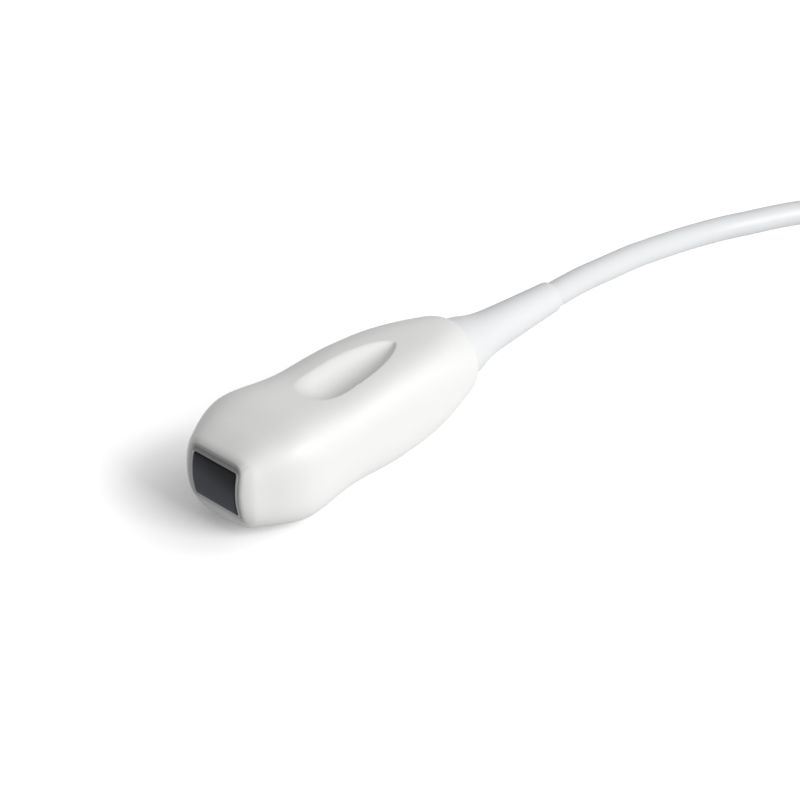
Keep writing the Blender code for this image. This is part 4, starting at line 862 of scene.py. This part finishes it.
def stitches_tree(name, sizes):
    """Short rounded stitches, end to end with small gaps along the base curve."""
    put, add, step, painted = geometry_tree(name, {"Geometry": "Geometry", **sizes})
    line = {"Curve": put["Geometry"], "Length": put["Stitch"]}
    points = add("GeometryNodeCurveToPoints", line, mode="LENGTH").outputs
    thread = {"Segments": 8, "Rings": 6, "Radius": put["Thread"]}
    thread = add("GeometryNodeMeshUVSphere", thread).outputs["Mesh"]
    longer = step("MULTIPLY", step("DIVIDE", put["Stitch"], put["Thread"]), 0.38)
    size = add("ShaderNodeCombineXYZ", {"X": 1.0, "Y": 1.0, "Z": longer}).outputs[0]
    placed = {"Points": points["Points"], "Instance": thread, "Rotation": points["Rotation"], "Scale": size}
    return painted(add("GeometryNodeInstanceOnPoints", placed).outputs["Instances"])


# Operators


class PROBE_OT_body(bpy.types.Operator):
    """Build the moulded body with its thumb dimple"""

    bl_idname = "probe.body"
    bl_label = "Moulded body"

    def execute(self, context):
        form = Housing(context.scene)
        body, nose = form.settings, form.nose
        length, x0, z0 = form.length, form.nose_x, form.axis_z
        upper = [math.pi * i / UPPER_POINTS for i in range(UPPER_POINTS)]
        around = upper + [math.pi * (1 + i / LOWER_POINTS) for i in range(LOWER_POINTS)]

        def ring(x, radius, dented=False):
            """The skin's points at x, with the crown of the nose and, where dented, the dimple."""
            points = []
            fade = max(0.0, 1 - x / CROWN_FADE) ** 2
            for a in around:
                c, s = math.cos(a), math.sin(a)
                r = radius(x, c, s)
                y, z = r * c, r * s
                if dented and s > 0:
                    z -= form.dimple(x, y)
                points.append((x0 + x - form.crown(z) * fade, y, z0 + z))
            return points

        def bore(x, c, s):
            return BORE_RADIUS

        def wall(x, c, s):
            return form.radius(x, c, s) - WALL

        def throat(x, c, s):
            wide, high = nose.bezel_width / 2 + FIT, nose.bezel_height / 2 + FIT
            return rectangle_radius(wide, high, nose.bezel_corner + FIT, c, s)

        arc = [math.radians(a) for a in range(0, 91, 9)]
        front = [body.nose_round * (1 - math.cos(a)) for a in arc]
        tail = [length - body.tail_round * (1 - math.sin(a)) for a in arc]
        span = tail[0] - front[-1]
        middle = [front[-1] + span * i / BODY_RINGS for i in range(1, BODY_RINGS)]
        rings = [ring(x, form.radius, True) for x in front + middle + tail]
        rear = length - BORE_DEPTH
        rings += [ring(x, bore) for x in (length - MOUTH, rear)]
        start, span = rear - CAVITY_REAR, THROAT_DEPTH + CAVITY_FRONT - rear + CAVITY_REAR
        rings += [ring(start + span * i / CAVITY_RINGS, wall, True) for i in range(CAVITY_RINGS + 1)]
        rings += [ring(x, throat) for x in (THROAT_DEPTH, THROAT_MIDDLE, MOUTH)]
        bm = skin(rings, ends_closed=False)
        white = moulded_plastic("white_moulding", body.colour, 0.46, 0.04)
        # painted shade round the rim: a wide dark band above it, a soft dark edge at its other sides
        joint_shade(white, (x0, 0.0, z0), nose.bezel_width / 2, nose.bezel_height / 2)
        finish_piece("body_moulding", bm, white, ("upper_housing", "lower_housing"))
        return {"FINISHED"}


class PROBE_OT_nose(bpy.types.Operator):
    """Build the grey rim and the silicone lens"""

    bl_idname = "probe.nose"
    bl_label = "Rim and lens"

    def execute(self, context):
        form = Housing(context.scene)
        nose, x0, z0 = form.nose, form.nose_x, form.axis_z
        outer = (nose.bezel_width + RIM_FILL, nose.bezel_height + RIM_FILL)
        outer += (nose.bezel_corner + RIM_CORNER_FILL,)
        inner = (nose.lens_width + FIT, nose.lens_height + FIT, nose.lens_corner)

        def ring(size, inset=0.0, sharper=0.0, proud=None):
            """The rim's points at its crowned front, or at its flat back."""
            width, height, corner = size
            points = rounded_rectangle(width - 2 * inset, height - 2 * inset, corner - sharper)
            if proud is None:
                return [(x0 + RIM_BACK, y, z0 + z) for y, z in divided(points, 16)]
            return [(x0 - proud - form.crown(z), y, z0 + z) for y, z in divided(points, 16)]

        rings = [ring(outer)] + [ring(outer, inset, inset, proud) for inset, proud in RIM_EDGE]
        rings += [ring(inner, *values) for values in RIM_INNER_EDGE] + [ring(inner)]
        grey = rim_material(nose.bezel_colour, z0 + nose.bezel_height / 2)
        finish_piece("bezel_moulding", skin(rings, ends_closed=False), grey, ("nose_bezel",))

        charcoal = lens_material(nose.lens_colour, z0 + nose.lens_height / 2)
        finish_piece("lens_face", lens_mesh(form), charcoal, ("acoustic_lens",))
        return {"FINISHED"}


def lens_mesh(form):
    """Silicone lens: a cylinder's front in strips across the probe, a soft edge and a flat back."""
    nose, x0, z0 = form.nose, form.nose_x, form.axis_z
    bm = bmesh.new()

    def loop(inset, sink):
        """The lens's outline at its crowned front, or at its flat back."""
        corner = max(LENS_LEAST_CORNER, nose.lens_corner - inset)
        points = rounded_rectangle(nose.lens_width - 2 * inset, nose.lens_height - 2 * inset, corner)
        found = []
        for y, z in divided(points, 24):
            x = x0 + LENS_BACK if sink is None else x0 - LENS_PROUD - form.crown(z) + sink
            found.append(bm.verts.new((x, y, z0 + z)))
        return found

    loops = [loop(0.0, None)] + [loop(inset, sink) for inset, sink in LENS_EDGE]
    join_rings(bm, loops)
    bm.faces.new(loops[0])
    rows = {}
    for v in sorted(loops[-1], key=lambda v: v.co.y):
        rows.setdefault(round(v.co.z, 6), []).append(v)
    strips = [(rows[z][0], rows[z][-1]) for z in sorted(rows)]
    for (a, b), (c, d) in zip(strips, strips[1:]):
        bm.faces.new((a, b, d, c))
    return bm


class PROBE_OT_boot(bpy.types.Operator):
    """Build the bend-relief boot"""

    bl_idname = "probe.boot"
    bl_label = "Bend-relief boot"

    def execute(self, context):
        form = Housing(context.scene)
        settings = context.scene.probe_cable
        start = form.length + FIT
        end = start + settings.boot_length
        radius_at = spline(*zip(*BOOT_SHAPE))
        first, tip = BOOT_SHAPE[0][1], BOOT_SHAPE[-1][1]
        root = start - BOOT_ROOT
        profile = [(root, BOOT_BORE), (root, BOOT_ROOT_RADIUS), (start, BOOT_ROOT_RADIUS)]
        profile += [(start + x, first - sink) for x, sink in BOOT_EDGE]
        for i in range(1, BOOT_RINGS):
            share = i / BOOT_RINGS
            profile.append((start + settings.boot_length * share, radius_at(share)))
        profile += [(end - x, tip - sink) for x, sink in BOOT_TIP] + [(end, TIP_BORE)]
        soft = moulded_plastic("white_boot", settings.boot_colour, 0.45, 0.03)
        bm = turned(profile, 96, (form.nose_x, 0.0, form.axis_z))
        finish_piece("boot_moulding", bm, soft, ("strain_relief_boot",))
        return {"FINISHED"}


class PROBE_OT_strap(bpy.types.Operator):
    """Build the woven strap round the hank, with its stitched closing end"""

    bl_idname = "probe.strap"
    bl_label = "Hank strap"

    def execute(self, context):
        strap = context.scene.probe_strap
        t, half = strap.thickness, strap.width / 2
        low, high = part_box("hank_strap")
        middle_x, middle_y, middle_z = [(a + b) / 2 for a, b in zip(low, high)]
        half_y, half_z = [(high[k] - low[k]) / 2 - t / 2 - STRAP_GAP for k in (1, 2)]
        outline = rounded_rectangle(2 * half_y, 2 * half_z, STRAP_CORNER, 9)
        points = np.array([(middle_y + y, middle_z + z) for y, z in outline + outline[:1]])
        lengths = distances(points)
        around = float(lengths[-1])

        def at(distance):
            """The strap's middle line, as y and z."""
            return np.array([np.interp(distance % around, lengths, points[:, k]) for k in range(2)])

        def outward(distance):
            """The direction away from the hank."""
            ahead = at(distance + STRAP_AHEAD) - at(distance - STRAP_AHEAD)
            ahead /= np.linalg.norm(ahead)
            return np.array([ahead[1], -ahead[0]])

        bm = bmesh.new()
        uv = bm.loops.layers.uv.new("weave")
        rows, places = [], {}
        total = around + strap.overlap
        steps = round(STRAP_STEPS * total / around)
        for i in range(steps + 1):
            d = total * i / steps
            out = outward(STRAP_BEGIN + d)
            lift = (t + STRAP_GAP) * smooth((d - around + STRAP_RAMP) / STRAP_RAMP)
            row = []
            for across, rise in STRAP_SECTION:
                y, z = at(STRAP_BEGIN + d) + out * lift + out * rise * t
                row.append(bm.verts.new((middle_x + across * half, y, z)))
                places[row[-1]] = (d, across * half)
            rows.append(row)
        join_rings(bm, rows)
        for face in bm.faces:
            for loop in face.loops:
                loop[uv].uv = places[loop.vert]
        for row in (rows[0], rows[-1]):
            for loop in bm.faces.new(row).loops:
                loop[uv].uv = (0.0, loop.vert.co.x - middle_x)
        black = webbing("black_webbing", strap.colour)
        finish_piece("strap_webbing", bm, black, ("hank_strap",))

        curve = bpy.data.curves.new("stitch_lines", "CURVE")
        curve.dimensions = "3D"
        start, run = STRAP_BEGIN + around + STITCH_END, strap.overlap - 2 * STITCH_END
        places = [start + run * i / (STITCH_POINTS - 1) for i in range(STITCH_POINTS)]
        for across in (-STITCH_ACROSS, STITCH_ACROSS):
            seam = [at(d) + outward(d) * (1.5 * t + STITCH_RISE) for d in places]
            add_line(curve, [(middle_x + across * half, y, z) for y, z in seam])
        base = bpy.data.objects.new("stitch_lines", curve)
        thread = moulded_plastic("grey_thread", strap.thread_colour, 0.7, 0.05)
        values = {"Stitch": strap.stitch, "Thread": strap.thread}
        node_piece("strap_stitches", stitches_tree, values, thread, base)
        return {"FINISHED"}


def half_outline(half_y, half_z, corner):
    """The upper half of a rounded rectangle, as 33 points from its right side to its left."""
    right = [(half_y, (half_z - corner) * i / 4) for i in range(4)]
    for i in range(9):
        angle = math.radians(90 * i / 8)
        right.append((half_y - corner + corner * math.cos(angle), half_z - corner + corner * math.sin(angle)))
    right += [((half_y - corner) * (1 - i / 4), half_z) for i in range(1, 4)]
    return right + [(0.0, half_z)] + [(-y, z) for y, z in reversed(right)]


def half_cover(settings, side):
    """One half of the connector's cover: outside, seam edge and inside, as rings along X."""
    length = settings.length
    px, py, pz = CONNECTOR_PLACE
    low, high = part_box("connector_shroud")
    throat = ((high[1] - low[1]) / 2 + FIT, (high[2] - low[2]) / 2 + FIT)
    arc = [math.pi * i / 32 for i in range(33)]

    def sides(x, inset, corner):
        """The cover's outline at x, narrower towards the cable."""
        taper = COVER_TAPER * (1 - min(1.0, x / (COVER_TAPER_SHARE * length))) ** 2
        return half_outline(settings.width / 2 - taper - inset, settings.height / 2 - inset, corner)

    def outside(x):
        near = min(1.0, min(x, length - x) / COVER_EDGE)
        return sides(x, COVER_EDGE * (1 - math.sqrt(1 - (1 - near) ** 2)), settings.corner)

    def inside(x):
        if x <= COVER_WALL:
            return [(SLEEVE_BORE * math.cos(a), SLEEVE_BORE * math.sin(a)) for a in arc]
        if x >= length - COVER_FRONT:
            return half_outline(*throat, THROAT_CORNER)
        return sides(x, COVER_WALL, settings.corner - COVER_WALL)

    places = [*COVER_ENDS, COVER_WALL, COVER_WALL + COVER_STEP]
    plain = length - COVER_BOTH_ENDS
    places += [COVER_INSIDE + plain * i / COVER_RINGS for i in range(1, COVER_RINGS + 1)]
    places += [length - x for x in (COVER_FRONT, COVER_FRONT_MIDDLE, *reversed(COVER_ENDS))]
    rings = []
    for x in places:
        outer, inner = outside(x), inside(x)
        right, left, rise = outer[0][0], outer[-1][0], COVER_SEAM + COVER_BEVEL
        ring = [(right - COVER_BEVEL, COVER_SEAM), (right, rise)] + outer[1:-1]
        ring += [(left, rise), (left + COVER_BEVEL, COVER_SEAM), (inner[-1][0], COVER_SEAM)]
        ring += inner[-2:0:-1] + [(inner[0][0], COVER_SEAM)]
        rings.append([(px + x, py + y, pz + side * z) for y, z in ring])
    return skin(rings)


class PROBE_OT_connector(bpy.types.Operator):
    """Build the system connector: cover halves, grip ribs, contact pins and cable sleeve"""

    bl_idname = "probe.connector"
    bl_label = "System connector"

    def execute(self, context):
        settings = context.scene.probe_connector
        grey = moulded_plastic("pale_grey_cover", settings.cover_colour, 0.42, 0.10, 1500.0)
        for side, word in ((1, "top"), (-1, "bottom")):
            bm, node = half_cover(settings, side), "connector_shell_" + word
            finish_piece("cover_" + word, bm, grey, (node,), 35)
        px, py, pz = CONNECTOR_PLACE
        run = (settings.ribs - 1) * settings.rib_pitch
        values = {
            "Count": settings.ribs,
            "Pitch": settings.rib_pitch,
            "Radius": settings.rib_radius,
            "Height": RIBS_HEIGHT * settings.height,
            "Side": settings.width / 2 - RIBS_SINK,
            "Place": (px + RIBS_MIDDLE * settings.length - run / 2, py, pz),
        }
        node_piece("grip_ribs", ribs_tree, values, grey)
        values = {
            "Columns": CONTACT_COLUMNS,
            "Rows": CONTACT_ROWS,
            "Pitch Y": CONTACT_PITCH_Y,
            "Pitch Z": CONTACT_PITCH_Z,
            "Radius": settings.pin_radius,
            "Length": settings.pin_length,
            "Place": (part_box("contact_block")[1][0] - CONTACT_DEPTH, py, pz),
        }
        gold = metal("gold_plating", (0.83, 0.62, 0.28), 0.28, 0.10)
        node_piece("contact_pins", pins_tree, values, gold)
        soft = moulded_plastic("soft_sleeve", context.scene.probe_cable.boot_colour, 0.50, 0.04)
        finish_piece("connector_sleeve", sleeve_mesh(), soft, ("connector_boot",), 45)
        return {"FINISHED"}


def sleeve_mesh():
    """The soft sleeve at the cable's entry, with ring grooves like those that let a real sleeve bend."""
    px = CONNECTOR_PLACE[0]
    low, high = [corner[0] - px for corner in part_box("connector_boot")]
    profile = [(high + x, r) for x, r in SLEEVE_FLANGE] + list(SLEEVE_COLLAR)
    for i in range(SLEEVE_STEPS + 1):
        share = i / SLEEVE_STEPS
        r = SLEEVE_ROOT + (SLEEVE_TIP - SLEEVE_ROOT) * share**SLEEVE_TAPER
        wave = max(0.0, math.cos(2 * math.pi * share * SLEEVE_GROOVES)) ** 4
        if SLEEVE_PLAIN < share * SLEEVE_GROOVES < SLEEVE_GROOVES - SLEEVE_PLAIN:
            r -= SLEEVE_GROOVE_DEPTH * wave
        profile.append((SLEEVE_START + (low + SLEEVE_END) * share, r))
    profile += [(low + x, r) for x, r in SLEEVE_MOUTH]
    return turned(profile, 72, CONNECTOR_PLACE)


def hank_line(diameter, turns):
    """The hank's turns. Each near end loop carries its strand to the next place of a square of four."""
    half = diameter / 2
    radius = half * math.sqrt(2)
    line = []

    def strand(out, up, share, side):
        """A place on one side's straight run, which the strap pulls in and lifts."""
        pull = HANK_PULL * (1 - math.cos(2 * math.pi * share)) / 2
        slope = HANK_PULL * math.pi / HANK_RUN * math.sin(2 * math.pi * share)
        tilt = math.hypot(1.0, slope)
        past = max(0.0, abs(share - 0.5) * HANK_RUN - STRAP_HALF - HANK_RISE_START)
        rise = HANK_STRAP_RISE * (1 + math.cos(math.pi * min(1.0, past / HANK_RISE_FALL))) / 2
        x = HANK_X + HANK_RUN * share + out * slope / tilt
        y = HANK_LOOP_RADIUS - pull + out / tilt
        return (x, HANK_Y + side * y, diameter + up + rise)

    for k in range(turns):
        angle = math.radians(-45 - 90 * k)
        out, up = radius * math.cos(angle), radius * math.sin(angle)
        line += [strand(out, up, i / STRAND_STEPS, -1) for i in range(STRAND_STEPS + 1)]
        for a in range(10, 180, 10):
            s, c = math.sin(math.radians(a)), math.cos(math.radians(a))
            r = HANK_LOOP_RADIUS + out
            line.append((HANK_X + HANK_RUN + r * s, HANK_Y - r * c, diameter + up))
        line += [strand(out, up, 1 - i / STRAND_STEPS, 1) for i in range(STRAND_STEPS + 1)]
        for i in range(1, NEAR_STEPS):
            share = i / NEAR_STEPS
            carried = math.radians(90 * smooth(share))
            r = HANK_LOOP_RADIUS + radius * math.cos(angle - carried)
            z = diameter + radius * (math.sin(angle - carried) + math.sin(math.radians(45) + carried)) - half
            if k == turns - 1:
                swell = math.sin(math.pi * share)
                r = HANK_LOOP_RADIUS + half + HANK_SWELL * swell
                z = 3 * half + HANK_CLIMB * smooth(share / HANK_CLIMB_SHARE) + HANK_LIFT * swell
            turn = math.radians(90 + 180 * share)
            line.append((HANK_X + r * math.cos(turn), HANK_Y + r * math.sin(turn), z))
    line.append((HANK_X, HANK_Y - HANK_LOOP_RADIUS - half, 3 * half + HANK_TOP))
    return line


class PROBE_OT_cable(bpy.types.Operator):
    """Build the cable from the probe through its hank to the connector"""

    bl_idname = "probe.cable"
    bl_label = "Cable"

    def execute(self, context):
        scene = context.scene
        settings, form = scene.probe_cable, Housing(scene)
        exit_x = form.nose_x + form.length
        inner = [(exit_x + step, 0.0, form.axis_z) for step in CABLE_START]
        hank = hank_line(settings.diameter, settings.turns)
        points = even_line([*inner, *CABLE_ROUTE, *hank, *LEAD_ROUTE], CABLE_SPACING)
        curve = bpy.data.curves.new("cable_jacket", "CURVE")
        curve.dimensions = "3D"
        curve.bevel_depth = settings.diameter / 2
        curve.bevel_resolution = 6
        curve.use_fill_caps = True
        add_line(curve, points)
        cable = bpy.data.objects.new("cable_jacket", curve)
        scene.collection.objects.link(cable)
        curve.materials.append(moulded_plastic("white_jacket", settings.colour, 0.38, 0.02))
        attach(cable, "root")
        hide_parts("cable", "cable_hank", "connector_lead")
        on_it = ["boot_moulding", "strap_webbing", "strap_stitches", "cover_top", "cover_bottom"]
        on_it += ["grip_ribs", "connector_sleeve", "contact_pins"]
        pieces = [bpy.data.objects[name] for name in on_it]
        pieces += [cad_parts[name] for name in ("connector_shroud", "contact_block", "connector_board")]
        return {"FINISHED"}


class PROBE_OT_inside(bpy.types.Operator):
    """Give the pieces inside the probe and connector their finishes"""

    bl_idname = "probe.inside"
    bl_label = "Inner finishes"

    def execute(self, context):
        made = inside_materials()
        starts = {start: finish for finish, words in INSIDE.items() for start in words.split()}
        for name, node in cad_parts.items():
            if node.hide_render:
                continue
            found = [start for start in starts if name.startswith(start)]
            if not found:
                raise RuntimeError("no finish for " + name)
            for slot in node.material_slots:
                slot.material = made[starts[max(found, key=len)]]
        return {"FINISHED"}


def seen_white(tree):
    """One where the camera sees a surface, straight, in a gloss or through something clear."""
    path = tree.nodes.new("ShaderNodeLightPath").outputs
    glossy = maths(tree)("MAXIMUM", path["Is Camera Ray"], path["Is Glossy Ray"])
    return maths(tree)("MAXIMUM", glossy, path["Is Transmission Ray"])


def floor_material():
    """A pale floor that is white to the camera where it is lit and keeps the shadow, with a painted shadow
    round the nose where its own glow is dimmer.
    """
    material = new_material("pale_floor")
    tree = material.node_tree
    add, seen = adder(tree), seen_white(tree)
    paper = add("ShaderNodeMix", {"Factor": seen, "A": PAPER_TONE, "B": SEEN_TONE}, data_type="RGBA")
    place = add("ShaderNodeTexCoord").outputs["Object"]
    away = add("ShaderNodeVectorMath", {0: place, 1: PAINTED_SHADOW_MIDDLE}, operation="DISTANCE").outputs["Value"]
    # the floor's glow is dimmer round the nose, which paints a darker shadow there
    glow = add("ShaderNodeMapRange", {"Value": away, **GLOW_AND_PAINTED_SHADOW}, interpolation_type="SMOOTHSTEP")
    inputs = {"Base Color": paper.outputs["Result"], "Roughness": 0.6, "Specular IOR Level": 0.0}
    inputs["Emission Color"] = WHITE
    inputs["Emission Strength"] = maths(tree)("MULTIPLY", seen, glow.outputs["Result"])
    surface(material, inputs)
    return material


def add_lamp(name, place, target, size, power):
    """A rectangular lamp at a place, turned to its target."""
    data = bpy.data.lights.new(name, "AREA")
    data.shape = "RECTANGLE"
    data.size, data.size_y = size
    data.energy = power
    lamp = bpy.data.objects.new(name, data)
    bpy.context.scene.collection.objects.link(lamp)
    aim = (Vector(target) - Vector(place)).to_track_quat("-Z", "Y")
    lamp.matrix_world = Matrix.Translation(place) @ aim.to_matrix().to_4x4()
    return lamp


class PROBE_OT_stage(bpy.types.Operator):
    """Build the floor, lamp, sky and camera"""

    bl_idname = "probe.stage"
    bl_label = "Studio"

    def execute(self, context):
        scene = context.scene
        studio = scene.probe_studio
        bm = bmesh.new()
        bmesh.ops.create_grid(bm, x_segments=1, y_segments=1, size=6.0)
        mesh = bpy.data.meshes.new("studio_floor")
        bm.to_mesh(mesh)
        bm.free()
        mesh.materials.append(floor_material())
        floor = bpy.data.objects.new("studio_floor", mesh)
        scene.collection.objects.link(floor)

        world = bpy.data.worlds.new("studio_world")
        world.use_nodes = True
        scene.world = world
        tree = world.node_tree
        level = {"Value": seen_white(tree), "To Min": studio.sky, "To Max": 1.0}
        level = adder(tree)("ShaderNodeMapRange", level).outputs["Result"]
        feed(tree, tree.nodes["Background"], {"Color": WHITE, "Strength": level})

        key = add_lamp("key_lamp", KEY_PLACE, KEY_AIM, KEY_SIZE, studio.key)
        hand_piece = bpy.data.collections.new("casts_the_key_shadow")
        for name in ("body_moulding", "bezel_moulding", "lens_face", "boot_moulding"):
            hand_piece.objects.link(bpy.data.objects[name])
        key.light_linking.blocker_collection = hand_piece

        data = bpy.data.cameras.new("photo_camera")
        data.lens, data.sensor_width, data.clip_start = 90.0, 36.0, 0.01
        camera = bpy.data.objects.new("photo_camera", data)
        scene.collection.objects.link(camera)
        turn = Matrix((CAMERA_RIGHT, CAMERA_UP, CAMERA_BACK)).transposed().to_4x4()
        camera.matrix_world = Matrix.Translation(CAMERA_PLACE) @ turn
        scene.camera = camera
        scene.view_settings.view_transform = "Standard"
        return {"FINISHED"}


class PROBE_PT_panel(bpy.types.Panel):
    """Lists the probe's sizes and the buttons that build its pieces"""

    bl_label = "Ultrasound probe"
    bl_idname = "PROBE_PT_panel"
    bl_space_type = "VIEW_3D"
    bl_region_type = "UI"
    bl_category = "Probe"

    def draw(self, context):
        layout, scene = self.layout, context.scene
        for name in SETTINGS:
            group = getattr(scene, name)
            for key in group.bl_rna.properties.keys():
                if key not in ("rna_type", "name"):
                    layout.prop(group, key)
        for operator in OPERATORS:
            layout.operator(operator.bl_idname)


SETTINGS = {
    "probe_body": BodySettings,
    "probe_nose": NoseSettings,
    "probe_cable": CableSettings,
    "probe_strap": StrapSettings,
    "probe_connector": ConnectorSettings,
    "probe_studio": StudioSettings,
}
OPERATORS = (
    PROBE_OT_body,
    PROBE_OT_nose,
    PROBE_OT_boot,
    PROBE_OT_strap,
    PROBE_OT_connector,
    PROBE_OT_cable,
    PROBE_OT_inside,
    PROBE_OT_stage,
)
CLASSES = tuple(SETTINGS.values()) + OPERATORS + (PROBE_PT_panel,)


def register():
    """Adds the settings, operators and panel."""
    for made in CLASSES:
        bpy.utils.register_class(made)
    for name, made in SETTINGS.items():
        setattr(bpy.types.Scene, name, PointerProperty(type=made))


def unregister():
    """Takes them away again."""
    for name in SETTINGS:
        delattr(bpy.types.Scene, name)
    for made in reversed(CLASSES):
        bpy.utils.unregister_class(made)


def main():
    """Builds everything."""
    register()
    bpy.ops.probe.body()
    bpy.ops.probe.nose()
    bpy.ops.probe.boot()
    bpy.ops.probe.strap()
    bpy.ops.probe.connector()
    bpy.ops.probe.cable()
    bpy.ops.probe.inside()
    bpy.ops.probe.stage()


if __name__ == "__main__":
    main()
